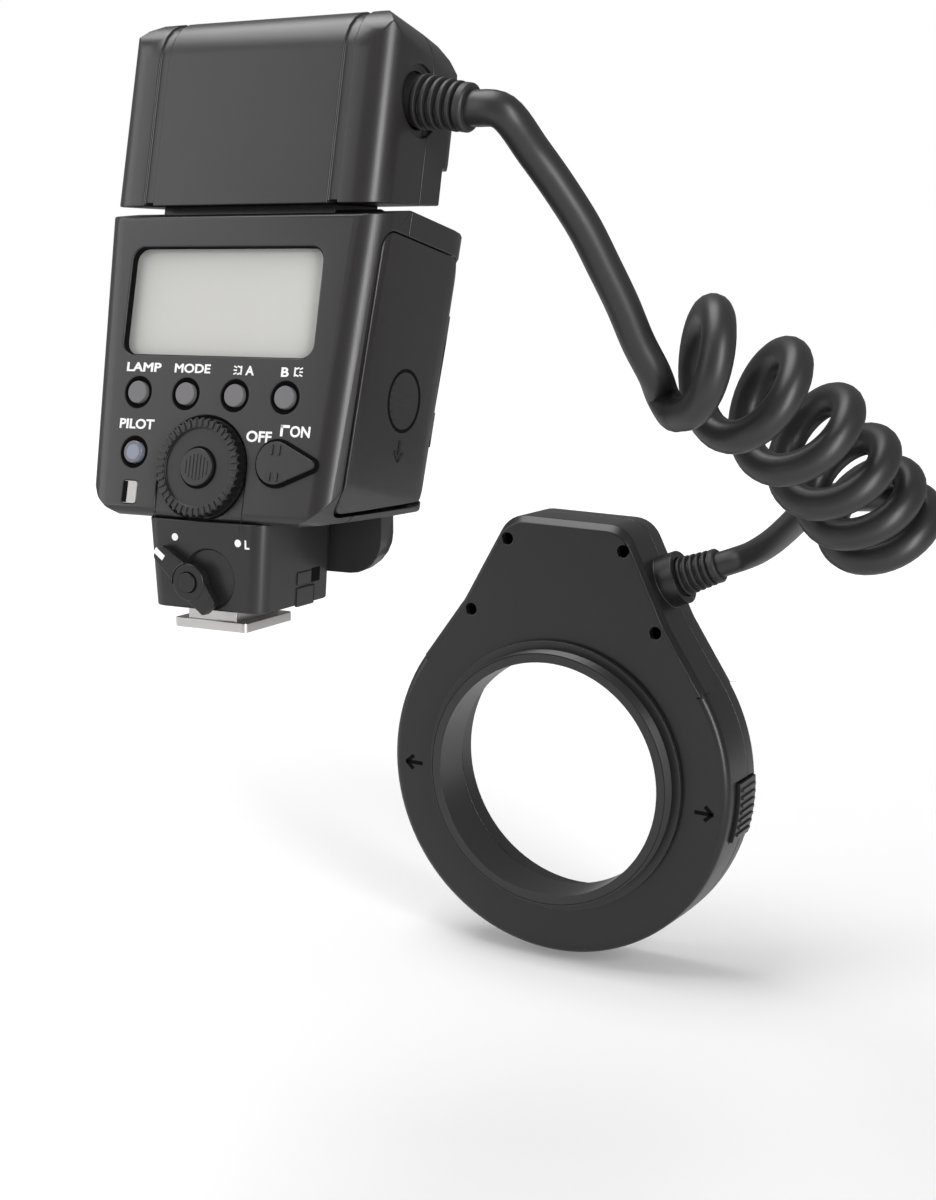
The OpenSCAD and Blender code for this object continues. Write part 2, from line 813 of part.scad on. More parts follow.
// Shoe block, chin and foot
module block_form(i = 0, top = unit_low_z) {
    half = block_w / 2 - unit_low_z * tan(block_draft) + i;
    front = block_l - block_back;
    intersection() {
        tapered_plan(half, block_draft, -block_back - i, front + i, block_corner, block_corner);
        translate([-50, -50, block_z0]) cube([100, 100, top - block_z0]);
    }
}

module shoe_block() {
    color(dark_plastic) difference() {
        block_form();
        rod_y(lever_x + 3.6, lever_z + 0.6, 6.4, -block_back - eps, 0.7 - block_back);
        rod_y(lever_x, lever_z, lever_shaft_r + fit, -block_back - eps, 6 - block_back);
        translate([0, lock_pin_y, 0]) cylinder(r = lock_pin_r + fit, h = block_z0 + 9);
        for (p = screw_xy) translate([p.x, p.y, 0]) cylinder(r = 0.9, h = block_z0 + 4);
        for (side = [-1, 1]) translate([side * block_w / 2, 7, block_z0 + 3])
            cube([2.4, 5, 5], center = true);
    }
}

module chin_form() {
    translate([0, chin_y, 0]) rotate_extrude() polygon(rounded([[0, chin_z, 0], [chin_r, chin_z, 8],
        [chin_r, unit_low_z, 0], [0, unit_low_z, 0]]));
}

// Everything in front of the seam between the housing and the assist lamp's window
module window_side(gap) {
    translate([-50, chin_y + window_y + gap, 0]) cube([100, 50, 50]);
}

module chin_housing() {
    color(plastic) difference() {
        chin_form();
        block_form(0.1, unit_low_z + eps);
        translate([-50, -50, 0]) cube([100, 50 - block_back + chin_back, 50]);
        window_side(-seam_gap / 2);
    }
}

module assist_window() {
    color("#3a1114") intersection() {
        chin_form();
        window_side(seam_gap / 2);
    }
}

screw_xy = [[4.4, 7], [-4.4, 7], [4.4, 2.4], [-4.4, 2.4]];
contact_xy = [[0, 0, 1.2], [3.4, -3.6, 0.8], [-3.4, -3.6, 0.8], [3.4, -6.6, 0.8], [-3.4, -6.6, 0.8]];

module foot_plate() {
    neck = [foot_neck_w, foot_l - 2, foot_neck_h + 0.1];
    color(steel) difference() {
        union() {
            linear_extrude(foot_t) polygon(round_rect(0, 0, foot_w, foot_l, 1));
            translate([-neck.x / 2, -neck.y / 2, foot_t - 0.1]) cube(neck);
        }
        translate([0, lock_pin_y, -eps]) cylinder(r = lock_pin_r + fit, h = 10);
        for (p = screw_xy) translate([p.x, p.y, -eps]) {
            cylinder(r = 1.5, h = 1.3 + eps);
            cylinder(r = 0.95, h = 10);
        }
        for (p = contact_xy) translate([p.x, p.y, -eps]) cylinder(r = p[2] + fit, h = 1.3 + eps);
    }
}

module foot_contacts() {
    color("#c9a24a") for (p = contact_xy) translate([p.x, p.y, -0.2]) cylinder(r = p[2], h = 1.5);
}

module foot_screws() {
    color(steel) for (p = screw_xy) translate([p.x, p.y, 0.2]) {
        cylinder(r = 1.45, h = 1.1);
        translate([0, 0, 1]) cylinder(r = 0.88, h = block_z0 + 2.5);
    }
}

module lock_lever() {
    step = 0.2;
    root = [0.65, 0.67] * lever_hub_r;
    arm = [[root.x, -root.y, 0], [lever_reach, -1.7, 1.2], [lever_reach, 1.7, 1.2], [root.x, root.y, 0]];
    color(black) translate([lever_x, -block_back - lever_gap, lever_z]) rotate([90, 0, 0]) difference() {
        union() {
            cylinder(r = lever_hub_r, h = lever_t);
            rotate([0, 0, lever_angle]) translate([0, 0, step]) linear_extrude(lever_t - 2 * step)
                polygon(rounded(arm));
            translate([0, 0, -5]) cylinder(r = lever_shaft_r, h = 5.5);
        }
        translate([0, 0, lever_t - 1.4]) cylinder(r = lock_button_r + fit, h = 3);
    }
}

module lock_button() {
    face = -block_back - lever_gap - lever_t;
    color("#303032") rod_y(lever_x, lever_z, lock_button_r, face - 0.5, face + 0.5);
}

module lock_pin() {
    color(steel) translate([0, lock_pin_y, 0.1]) cylinder(r = lock_pin_r, h = block_z0 + 7);
}

// Strain relief: a flange inside the housing, ribs that draw in and a collar where the cord leaves
module strain_relief(inside) {
    collar = 2;
    draw_in = 0.7;
    hold_r = relief_r + relief_hold;
    hold_t = 1.6;
    pitch = (relief_l - collar) / relief_ribs;
    rib = [[-0.4, 0], [0, 0.15], [0, 0.55], [-1.2, 0.6], [-1.2, 0.97]];
    rotate_extrude() polygon(concat(
        [[0, -inside - hold_t], [hold_r, -inside - hold_t], [hold_r, -inside],
            [relief_r - 0.4, -inside]],
        [for (k = [0 : relief_ribs - 1], p = rib)
            [relief_r - draw_in * k / relief_ribs + p.x, pitch * (k + p.y)]],
        [[relief_r - draw_in, relief_l - collar], [relief_r - draw_in, relief_l - 0.5],
            [relief_r - draw_in - 0.5, relief_l], [0, relief_l]]));
}

module head_strain_relief() {
    tilt = (relief_r + relief_hold) * sin(relief_droop);
    color(rubber) leaned() at_outlet() translate([0, 0, relief_step])
        strain_relief(head_wall + relief_step + tilt + 0.1);
}

function unit3(v) = v / norm(v);

// From the leaned frame to the part's own
function from_leaned(p) = [p.x, screen_y + p.y * cos(unit_lean) + p.z * sin(unit_lean),
    screen_z - p.y * sin(unit_lean) + p.z * cos(unit_lean)];

// From the ring head's frame to the part's own
function from_ring(p) = [p.x * cos(ring_roll) + p.z * sin(ring_roll), ring_y + p.y,
    ring_z - p.x * sin(ring_roll) + p.z * cos(ring_roll)];

// The curly part: a helix about a bent axis, with curls that close up along it
function axis_at(t) =
    (1 - t) * (1 - t) * coil_axis[0] + 2 * t * (1 - t) * coil_axis[1] + t * t * coil_axis[2];
function axis_way(t) = unit3((1 - t) * (coil_axis[1] - coil_axis[0]) + t * (coil_axis[2] - coil_axis[1]));
function coil_share(s) =
    let (left = max(1 - s / coil_turns, 0))
    (s / coil_turns + coil_open * (1 - pow(left, coil_ease + 1))) / (1 + coil_open);
function coil_at(s) =
    let (t = coil_share(s), d = axis_way(t), up = unit3([0, 0, 1] - d.z * d), near = cross(d, up))
    let (r = coil_r_first + (coil_r_last - coil_r_first) * s / coil_turns, a = 360 * (s + coil_start))
    let (back = tan(coil_lean) * pow(max(1 - s / coil_turns, 0), 3))
    axis_at(t) - r * cos(a) * (up - back * d) + r * sin(a) * near;
function coil_way(s) = unit3(coil_at(s + 0.001) - coil_at(s - 0.001));

coil_points = [for (i = [0 : coil_turns * coil_rings]) coil_at(i / coil_rings)];
coil_end = (len(coil_points) - 1) / coil_rings;
lead_way = from_leaned([cos(relief_droop), 0, -sin(relief_droop)]) - from_leaned([0, 0, 0]);
lead_from = from_leaned([head_w / 2, outlet_y, outlet_z]) + lead_way * (relief_l + relief_step);
tail_way = from_ring([cos(relief_turn), 0, sin(relief_turn)]) - from_ring([0, 0, 0]);
tail_from = from_ring([relief_at.x, relief_y, relief_at.y]) + tail_way * (relief_l + relief_boss_h);
lead_end = coil_at(0) - 9 * coil_way(0) + [0.4, 1, 3.4];
lead_route = concat([lead_from, lead_from + cord_d * lead_way], lead_points,
    [lead_end, coil_at(0) - 3 * coil_way(0), coil_at(0)]);
tail_route = concat([tail_from, tail_from + cord_d * tail_way], tail_points,
    [coil_at(coil_end) + 4 * coil_way(coil_end), coil_at(coil_end)]);

// Least gap between two curls
coil_last = len(coil_points) - 1;
coil_gap = min([for (i = [0 : coil_last], j = [i + coil_rings / 2 : 1 : coil_last])
    norm(coil_points[i] - coil_points[j])]) - cord_d;
echo(coil_gap = coil_gap);

// A tube round a route: triangles between rings that stand square to the route
function ring_way(pts, i) = unit3(pts[min(i + 1, len(pts) - 1)] - pts[max(i - 1, 0)]);
function ring_at(p, way, hint) =
    let (u = unit3(cross(way, hint)), w = cross(way, u), r = cord_d / 2)
    [for (k = [0 : cord_sides - 1])
        let (a = 360 * k / cord_sides) p + r * (cos(a) * u + sin(a) * w)];

module tube(pts, ways, hints) {
    n = len(pts);
    m = cord_sides;
    skin = [for (i = [0 : n - 2], k = [0 : m - 1])
        let (a = i * m + k, b = i * m + (k + 1) % m) each [[a, b, b + m], [a, b + m, a + m]]];
    caps = [for (k = [1 : m - 2]) each [[0, k + 1, k], [(n - 1) * m, (n - 1) * m + k, (n - 1) * m + k + 1]]];
    polyhedron([for (i = [0 : n - 1]) each ring_at(pts[i], ways[i], hints[i])], concat(skin, caps));
}

// A smooth way through chosen points, with n steps between each two
function between(a, b, c, d, t) =
    (2 * b + (c - a) * t + (2 * a - 5 * b + 4 * c - d) * t * t + (3 * b - a - 3 * c + d) * t * t * t) / 2;
function smooth(pts, n) =
    let (k = len(pts) - 1)
    [for (i = [0 : k - 1], j = [0 : n - 1])
        let (a = i == 0 ? 2 * pts[0] - pts[1] : pts[i - 1])
        let (d = i == k - 1 ? 2 * pts[k] - pts[k - 1] : pts[i + 2])
        between(a, pts[i], pts[i + 1], d, j / n),
        pts[k]];

// A tube along hand-chosen points, square to its housing at one end and to the curls at the other
module plain_cord(route, first_way, last_way, hint) {
    pts = smooth(route, cord_steps);
    n = len(pts);
    ways = [for (i = [0 : n - 1]) i == 0 ? first_way : i == n - 1 ? last_way : ring_way(pts, i)];
    color(rubber) tube(pts, ways, [for (p = pts) hint]);
}

module cord_lead() {
    plain_cord(lead_route, lead_way, coil_way(0), [0.3, 1, 0]);
}

module cord_coil() {
    n = len(coil_points);
    ways = [for (i = [0 : n - 1]) coil_way(i / coil_rings)];
    hints = [for (i = [0 : n - 1]) axis_at(coil_share(i / coil_rings)) - coil_points[i]];
    color(rubber) tube(coil_points, ways, hints);
}

module cord_tail() {
    plain_cord(tail_route, tail_way, -coil_way(coil_end), [1, 1, 0]);
}

// Ring head: everything about the optical axis
module at_ring() {
    translate([0, ring_y, ring_z]) rotate([0, ring_roll, 0]) children();
}

// A body turned about the optical axis from points [radius, depth]; angles run from +X towards +Z
module ring_turn(pts, from = 0, angle = 360) {
    rotate([90, 0, 0]) rotate_extrude(angle = angle, start = from, $fn = 128)
        polygon([for (p = pts) [p.x, -p.y]]);
}

function bump_side(i, s) =
    let (k = hip - i * hip_way, q = (ring_r - 0.3 - i) * [cos(34), sin(34)])
    [[s * q.x, q.y, 0], [s * k.x, k.y, 25], [s * (bump_w - 0.6 * i), bump_h - i, 9]];
function bump_outline(i) =
    let (left = bump_side(i, -1), right = bump_side(i, 1))
    rounded(concat(right, [left[2], left[1], left[0]], [[0, 20, 0]]));

module bump_form(i, y0, y1) {
    along_y(bump_outline(i), y0, y1);
}

// The bump's slanted rear edge
module bump_edge() {
    translate([0, bump_slant, 0]) rotate([90, 0, 0]) linear_extrude(bump_slant, scale = 0.975)
        polygon(bump_outline(0));
}

module ring_relief_place() {
    translate([relief_at.x, relief_y, relief_at.y]) rotate([0, 90 - relief_turn, 0]) children();
}

// The two halves of the boss that holds the strain relief, and the hole through them
module relief_boss() {
    ring_relief_place() translate([0, 0, -2]) cylinder(r = relief_boss_r, h = relief_boss_h + 2);
}

module relief_hole() {
    ring_relief_place() translate([0, 0, -10]) cylinder(r = relief_r + 0.1, h = 30);
    ring_relief_place() translate([0, 0, -10]) cylinder(r = relief_r + 1.3, h = 10.8);
}

module release_slot(s) {
    half = knob_h / 2 + slot_gap;
    reach = ring_r + 3 - lamp_out;
    rotate([0, s > 0 ? 0 : 180, 0]) translate([lamp_out + 0.2, knob_y0 - slot_gap, -knob_drop - half])
        cube([reach, knob_y1 - knob_y0 + 2 * slot_gap, 2 * half]);
}

module claw_slot(s) {
    rotate([0, s > 0 ? 0 : 180, 0]) translate([-ring_bore - 6, slider_y - slot_gap, claw_z - 0.7])
        cube([10, slider_t + 2 * slot_gap, claw_w + 1.4]);
}

module ring_cavity(y0, y1) {
    inner = ring_bore + ring_wall;
    outer = ring_r - ring_skin;
    ring_turn([[inner, y0], [outer, y0], [outer, y1], [inner, y1]]);
    difference() {
        bump_form(ring_skin, y0, y1);
        rod_y(0, 0, inner + 6, y0 - 1, y1 + 1);
    }
}

module ring_rear_shell() {
    end = ring_seam - seam_gap / 2;
    edge = 2.5;
    rim = [[ring_bore, 0, 0], [ring_r - 0.5, 0, edge], [ring_r, end, 0], [ring_bore, end, 0]];
    color(black) at_ring() difference() {
        union() {
            difference() {
                union() {
                    ring_turn(rounded(rim));
                    bump_edge();
                    bump_form(0, bump_slant, end);
                    intersection() {
                        relief_boss();
                        depth_slice(0, end);
                    }
                }
                ring_cavity(ring_floor, ring_seam + 1);
            }
            for (p = screw_places) rod_y(p.x, p.y, tower_r, ring_floor - 0.3, tower_top);
        }
        rod_y(0, 0, ring_bore, -1, ring_seam + 1);
        for (s = [-1, 1]) {
            release_slot(s);
            claw_slot(s);
        }
        for (p = screw_places) {
            rod_y(p.x, p.y, screw_hole_r, -eps, tower_top - 2);
            rod_y(p.x, p.y, shank_r + 0.1, 0, tower_top + 1);
        }
        relief_hole();
    }
}

// The windows of the front face, with a spoke at each end of a lamp
module lamp_window(from, span, face) {
    y0 = face - 1;
    y1 = ring_depth + 1;
    cut = [[lamp_in, y0], [lamp_out, y0], [lamp_out, y1], [lamp_in, y1]];
    ring_turn(cut, from + spoke / 2, span - spoke);
}

module ring_front_shell() {
    start = ring_seam + seam_gap / 2;
    face = ring_depth - 1.4;
    rim = [[ring_bore, start, 0], [ring_r, start, 0], [ring_r, ring_depth, 2], [ring_bore, ring_depth, 0.5]];
    color(dark_plastic) at_ring() difference() {
        union() {
            difference() {
                union() {
                    ring_turn(rounded(rim));
                    bump_form(0, start, ring_depth);
                    intersection() {
                        relief_boss();
                        depth_slice(start, ring_depth);
                    }
                }
                ring_cavity(ring_seam - 1, face);
                for (from = [0, 180]) {
                    lamp_window(from - lamp_span / 2, lamp_span, face);
                    lamp_window(from + lamp_span / 2, 180 - lamp_span, face);
                }
            }
            for (p = screw_places) {
                under = p.y > ring_r ? board_t : 0;
                rod_y(p.x, p.y, boss_r, tower_top + under, face + 0.3);
            }
        }
        rod_y(0, 0, ring_bore, ring_seam - 1, ring_depth + 1);
        difference() {
            depth_slice(tower_top - 1, ring_seam);
            bump_form(ring_skin + slot_gap, tower_top - 2, ring_seam + 1);
        }
        for (s = [-1, 1]) release_slot(s);
        for (p = screw_places) rod_y(p.x, p.y, shank_r + 0.03, tower_top - 1, boss_top - 2);
        relief_hole();
    }
}

module ring_reflector() {
    t = reflector_t;
    top = ring_depth - 1.6;
    inner = lamp_in + 0.2;
    outer = lamp_out - 0.2;
    slope = 1.2;
    floor_y = reflector_y + t;
    color("#d8d8d6") at_ring() ring_turn([[inner, reflector_y], [outer, reflector_y], [outer, top],
        [outer - t, top], [outer - t - slope, floor_y], [inner + t + slope, floor_y],
        [inner + t, top], [inner, top]]);
}

// Lamps sit in two half rings, A on the right and B on the left
module flash_tube(from) {
    r = (lamp_in + lamp_out) / 2;
    short = 7;
    color("#e8eef0") at_ring() rotate([90, 0, 0])
        rotate_extrude(angle = lamp_span - 2 * short, start = from + short, $fn = 128)
            translate([r, -reflector_y - reflector_t - tube_r - 0.2]) circle(tube_r, $fn = 24);
}

module flash_tube_a() {
    flash_tube(-lamp_span / 2);
}

module flash_tube_b() {
    flash_tube(180 - lamp_span / 2);
}

module lamp_panel(from, span) {
    inner = lamp_in + 0.2;
    outer = lamp_out - 0.2;
    y0 = ring_depth - 1.5;
    y1 = ring_depth + lamp_dome;
    part = spoke / 2 + 0.4;
    dome = rounded([[inner, y0, 0], [outer, y0, 0], [outer, y1, 2], [inner, y1, 2]]);
    color("#dfe3e2") at_ring() ring_turn(dome, from + part, span - 2 * part);
}

module lamp_cover_a() {
    lamp_panel(-lamp_span / 2, lamp_span);
}

module lamp_cover_b() {
    lamp_panel(180 - lamp_span / 2, lamp_span);
}

module focus_lamps() {
    span = 180 - lamp_span;
    for (from = [90, 270]) lamp_panel(from - span / 2, span);
}

module ring_board() {
    gap = 0.5;
    low = ring_r + 2;
    high = bump_h - 5.5;
    half = bump_w + 5;
    color("#2f5a41") at_ring() difference() {
        intersection() {
            bump_form(ring_skin + gap, tower_top, tower_top + board_t);
            translate([-half, 0, low]) cube([2 * half, ring_depth, high - low]);
        }
        for (p = screw_places) rod_y(p.x, p.y, shank_r + 0.4, 0, 20);
    }
}

module ring_screws() {
    color("#2e2e30") at_ring() for (p = screw_places) {
        rod_y(p.x, p.y, screw_hole_r - 0.1, tower_top - 3.4, tower_top - 2);
        rod_y(p.x, p.y, shank_r, tower_top - 2.2, boss_top - 3);
    }
}

// A release: a ribbed knob on one side and a claw on the other, joined by a half ring
module release_slider() {
    y1 = slider_y + slider_t;
    bar_w = 10;
    ring_turn([[slider_in, slider_y], [slider_out, slider_y], [slider_out, y1], [slider_in, y1]], -6, 174);
    translate([slider_in, slider_y, -bar_w / 2]) cube([knob_in + 0.3 - slider_in, 5, bar_w]);
    intersection() {
        translate([knob_in, knob_y0, -knob_drop - knob_h / 2]) cube([8, knob_y1 - knob_y0, knob_h]);
        rod_y(0, 0, knob_out - 0.6, 0, 30);
    }
    for (k = [-3 : 3]) rotate([0, asin(knob_drop / ring_r) - k * 2.3, 0])
        translate([knob_out - 1.2, knob_y0 + 1.5, -0.5]) cube([1.2, knob_y1 - knob_y0 - 3, 1]);
    difference() {
        translate([-slider_out + 0.4, slider_y, claw_z]) cube([10, slider_t, claw_w]);
        rod_y(0, 0, claw_r, 0, 10);
    }
}

module release_slider_a() {
    color(dark_plastic) at_ring() release_slider();
}

module release_slider_b() {
    color(dark_plastic) at_ring() rotate([0, 180, 0]) release_slider();
}

module ring_strain_relief() {
    color(rubber) at_ring() ring_relief_place() translate([0, 0, relief_boss_h])
        strain_relief(relief_boss_h - 0.7);
}

module adapter_ring() {
    rear = -seam_gap - flange_t;
    low = slider_y - 0.4;
    high = low + slider_t + 0.8;
    color(dark_plastic) at_ring() ring_turn([[adapter_bore, rear - thread_l], [thread_r, rear - thread_l],
        [thread_r, rear], [flange_r, rear], [flange_r, -seam_gap], [collar_r, -seam_gap],
        [collar_r, low], [groove_r, low], [groove_r, high], [collar_r, high], [collar_r, 8],
        [adapter_bore, 8]]);
}

rear_shell();
front_shell();
chin_housing();
assist_window();
neck_block();
head_rear_shell();
head_front_shell();
main_capacitor();
screen_window();
screen_module();
indicator_window();
main_board();
battery_cage();
battery_cell_1();
battery_cell_2();
battery_cell_3();
battery_cell_4();
battery_contacts();
door_hinge_pin();
battery_door();
lamp_button();
mode_button();
ratio_button();
balance_button();
test_button();
dial();
dial_button();
power_switch();
shoe_block();
foot_plate();
foot_contacts();
foot_screws();
lock_lever();
lock_button();
lock_pin();
head_strain_relief();
cord_lead();
cord_coil();
cord_tail();
ring_strain_relief();
ring_rear_shell();
ring_front_shell();
ring_reflector();
flash_tube_a();
flash_tube_b();
lamp_cover_a();
lamp_cover_b();
focus_lamps();
ring_board();
ring_screws();
release_slider_a();
release_slider_b();
adapter_ring();
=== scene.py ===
"""A macro ring flash: a control unit, a curly cord and a ring head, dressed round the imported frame."""

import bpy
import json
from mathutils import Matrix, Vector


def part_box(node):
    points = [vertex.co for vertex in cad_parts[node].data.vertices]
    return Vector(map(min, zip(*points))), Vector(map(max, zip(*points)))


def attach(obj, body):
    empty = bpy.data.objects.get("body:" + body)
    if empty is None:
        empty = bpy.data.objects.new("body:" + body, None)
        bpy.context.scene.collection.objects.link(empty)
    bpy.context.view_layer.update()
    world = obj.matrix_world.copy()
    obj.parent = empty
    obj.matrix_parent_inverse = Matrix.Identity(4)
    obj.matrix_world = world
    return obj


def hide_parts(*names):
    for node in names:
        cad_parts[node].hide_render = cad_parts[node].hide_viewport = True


bl_info = {
    "name": "Macro ring flash",
    "version": (1, 0, 0),
    "blender": (4, 5, 0),
    "location": "View3D > Sidebar > Ring flash",
    "description": "Dresses the solids of a macro ring flash with finishes, print and fine parts",
    "category": "Object",
}

import json
import math

import bmesh
import bpy
from bpy.props import FloatProperty, FloatVectorProperty, IntProperty, PointerProperty
from mathutils import Matrix, Vector
from mathutils.bvhtree import BVHTree

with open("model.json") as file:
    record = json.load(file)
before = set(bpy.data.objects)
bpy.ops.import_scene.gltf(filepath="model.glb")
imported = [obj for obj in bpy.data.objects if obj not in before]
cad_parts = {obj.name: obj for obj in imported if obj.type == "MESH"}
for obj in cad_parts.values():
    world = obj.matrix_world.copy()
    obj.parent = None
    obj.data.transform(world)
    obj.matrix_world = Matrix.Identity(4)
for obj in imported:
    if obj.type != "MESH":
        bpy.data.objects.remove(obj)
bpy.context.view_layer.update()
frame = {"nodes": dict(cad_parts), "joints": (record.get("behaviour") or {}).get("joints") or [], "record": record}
RECORD = frame["record"]
JOINTS = {joint["name"]: joint for joint in frame["joints"]}
BODY_OF = {node: body for body, nodes in RECORD["behaviour"]["bodies"].items() for node in nodes}
MM = 0.001

# Copies of solids: faces that meet at less than FLAT are joined, up to so many corners, and edges sharper
# than SHARP are rounded
FLAT = 0.004
MOST_CORNERS = 24
SHARP = math.radians(32)
EDGE_STEPS = 2
SMOOTH = math.radians(50)

# Points closer than this are one point, in a copy of a solid and in a piece that is built here
WELD_SOLID = 1e-6
WELD_PIECE = 1e-7

# Sides of round pieces, the thickening of letters and the spread of an arrow's barbs
DISC_SIDES = 32
RING_SIDES = 48
DIAL_SIDES = 64
THREAD_SIDES = 128
BOLDNESS = 0.03
BARB_TURN = math.radians(42)

UP = Vector((0, 0, 1))
AHEAD = Vector((0, 1, 0))

# The panel leans forward: its axes are across, up along it and out of it towards the user
ACROSS = Vector((1, 0, 0))
INWARD = Vector(JOINTS["dial_turn"]["axis"]).normalized()
UPWARD = ACROSS.cross(INWARD)
SCREEN = Vector((0, -0.7, 69.3)) * MM

# Half the body's width beside the middle of the screen, in millimetres, and the draft of its sides
BODY_HALF = 34.263
BODY_DRAFT = math.radians(3)
BLOCK_DRAFT = math.radians(4)

# The ring head's middle and its small turn about the optical axis
RING = Vector(JOINTS["adapter_turn"]["pos_m"])
RING_ACROSS = -Vector(JOINTS["release_a_push"]["axis"]).normalized()
RING_UP = RING_ACROSS.cross(AHEAD)


def axes(across, up, out, at):
    """A place whose x runs across, y up and z out of a surface, at a point on it."""
    place = Matrix((across, up, out)).transposed().to_4x4()
    place.translation = at
    return place


def raised(place, lift):
    """The same place, lifted off its surface by so many millimetres."""
    return place @ Matrix.Translation((0, 0, lift * MM))


def facing_back(at):
    """A place on a face that looks straight back, at a point on it."""
    return axes(ACROSS, UP, -AHEAD, at)


def on_panel(x, z, lift=0.0):
    """A place on the panel, in millimetres from the middle of the screen."""
    return axes(ACROSS, UPWARD, -INWARD, SCREEN + (ACROSS * x + UPWARD * z - INWARD * lift) * MM)


def on_block(x, z):
    """A place on the rear face of the shoe block, in millimetres from the foot."""
    return facing_back(Vector((x * MM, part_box("shoe_block")[0].y, z * MM)))


def on_block_side(y, z):
    """A place on the right-hand face of the shoe block, in millimetres in front of the foot and above it."""
    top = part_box("shoe_block")[1]
    up = Vector((math.sin(BLOCK_DRAFT), 0, math.cos(BLOCK_DRAFT)))
    edge = Vector((top.x, y * MM, top.z))
    return axes(AHEAD, up, AHEAD.cross(up), edge + up * (z * MM - top.z) / up.z)


def on_door(y, z):
    """A place on the battery door, in millimetres behind the panel and from the middle of the screen."""
    side = math.sin(BODY_DRAFT) * ACROSS + math.cos(BODY_DRAFT) * UPWARD
    out = INWARD.cross(side)
    edge = SCREEN + (ACROSS * BODY_HALF + INWARD * y) * MM
    return axes(INWARD, side, out, edge + side * z * MM / math.cos(BODY_DRAFT))


def on_ring(x, y, z):
    """A place about the optical axis, in millimetres: x across, y in front of the rear face, z up."""
    return axes(RING_ACROSS, RING_UP, -AHEAD, RING + (RING_ACROSS * x + AHEAD * y + RING_UP * z) * MM)


def length_property(name, description, default):
    """A length that the user can change, in metres."""
    return FloatProperty(name=name, description=description, unit="LENGTH", default=default)


def colour_property(name, description, default):
    """A colour that the user can change."""
    return FloatVectorProperty(
        name=name, description=description, subtype="COLOR", size=3, min=0, max=1, default=default)


class CameraSettings(bpy.types.PropertyGroup):
    """Where the picture is taken from."""

    place: FloatVectorProperty(
        name="Place", description="Where the camera stands", subtype="TRANSLATION", unit="LENGTH",
        default=(0.23411, -0.33357, 0.07468))
    turn: FloatProperty(
        name="Turn", description="Turn from straight ahead to the left", subtype="ANGLE",
        default=math.radians(27.87))
    tilt: FloatProperty(
        name="Tilt", description="Tilt below the horizon", subtype="ANGLE", default=math.radians(9.75))
    roll: FloatProperty(
        name="Roll", description="Turn about the line of sight", subtype="ANGLE", default=math.radians(0.147))
    lens: FloatProperty(
        name="Lens", description="Focal length for a sensor 36 mm high", subtype="DISTANCE_CAMERA",
        default=56.53)


class StageSettings(bpy.types.PropertyGroup):
    """Floor and light."""

    floor: length_property("Floor", "Height of the floor", -0.1325)
    floor_glow: FloatProperty(
        name="Floor glow", description="Light of the far floor as the camera sees it", default=0.85,
        min=0, max=1)
    near_glow: FloatProperty(
        name="Near glow", description="Light of the floor near the object as the camera sees it", default=0.1,
        min=0, max=1)
    glow_reach: length_property("Glow reach", "How far off the floor glows in full", 1.4)
    ambient: FloatProperty(
        name="Ambient", description="Light that comes from all round", default=0.26, min=0, max=1)
    key: FloatProperty(name="Key", description="Strength of the right-hand softbox", default=9.0, min=0)
    top: FloatProperty(name="Top", description="Strength of the overhead softbox", default=8.0, min=0)
    fill: FloatProperty(name="Fill", description="Strength of the left-hand softbox", default=6.0, min=0)


class CordSettings(bpy.types.PropertyGroup):
    """The curly cord."""

    thickness: length_property("Thickness", "Diameter of the cord", 0.0076)
    turns: FloatProperty(name="Turns", description="Turns in the curly part", default=5.5)
    first_radius: length_property("First radius", "Radius of the first curl", 0.0118)
    last_radius: length_property("Last radius", "Radius of the last curl", 0.0112)
    opening: FloatProperty(
        name="Opening", description="How far the first curls are pulled apart", default=1.3)
    lean: FloatProperty(
        name="Lean", description="Lean of the first curl", subtype="ANGLE", default=math.radians(21))
    steps: IntProperty(name="Steps", description="Points on each curl", default=40, min=12)


class PanelSettings(bpy.types.PropertyGroup):
    """Sizes on the control panel."""

    middle: length_property("Middle", "Sideways place of the screen and the dial", -0.0014)
    screen_width: length_property("Screen width", "Width of the screen's opening", 0.049)
    screen_height: length_property("Screen height", "Height of the screen's opening", 0.0236)
    screen_corner: length_property("Screen corner", "Radius of the opening's corners", 0.003)
    button_row: length_property("Button row", "Height of the row of buttons", -0.02)
    button_pitch: length_property("Button pitch", "Spacing of the row of buttons", 0.0126)
    dial_height: length_property("Dial height", "Height of the dial's middle", -0.0357)
    dial_teeth: IntProperty(name="Dial teeth", description="Teeth round the dial", default=40, min=3)
    switch_hub: length_property("Switch hub", "Radius of the power switch at its pivot", 0.0045)
    switch_tip: length_property("Switch tip", "Radius of the power switch at its tip", 0.001)
    switch_reach: length_property("Switch reach", "Reach of the power switch", 0.0096)


class FinishSettings(bpy.types.PropertyGroup):
    """Colours of the mouldings, metals and print."""

    charcoal: colour_property("Charcoal", "Shells of the control unit and head", (0.021, 0.0193, 0.0205))
    slate: colour_property("Slate", "Shoe block and the ring's front shell", (0.017, 0.016, 0.017))
    jet: colour_property("Jet", "Ring's rear shell, lever, dial and neck", (0.009, 0.0086, 0.009))
    key_grey: colour_property("Key grey", "Caps of the push buttons", (0.135, 0.131, 0.136))
    cord_black: colour_property("Cord black", "Cord and strain reliefs", (0.018, 0.0175, 0.0185))
    crystal: colour_property("Crystal", "Liquid crystal screen at rest", (0.455, 0.415, 0.38))
    print_white: colour_property("Print white", "Marks and letters", (0.86, 0.86, 0.86))
    steel: colour_property("Steel", "Foot, pins and screws", (0.62, 0.61, 0.6))


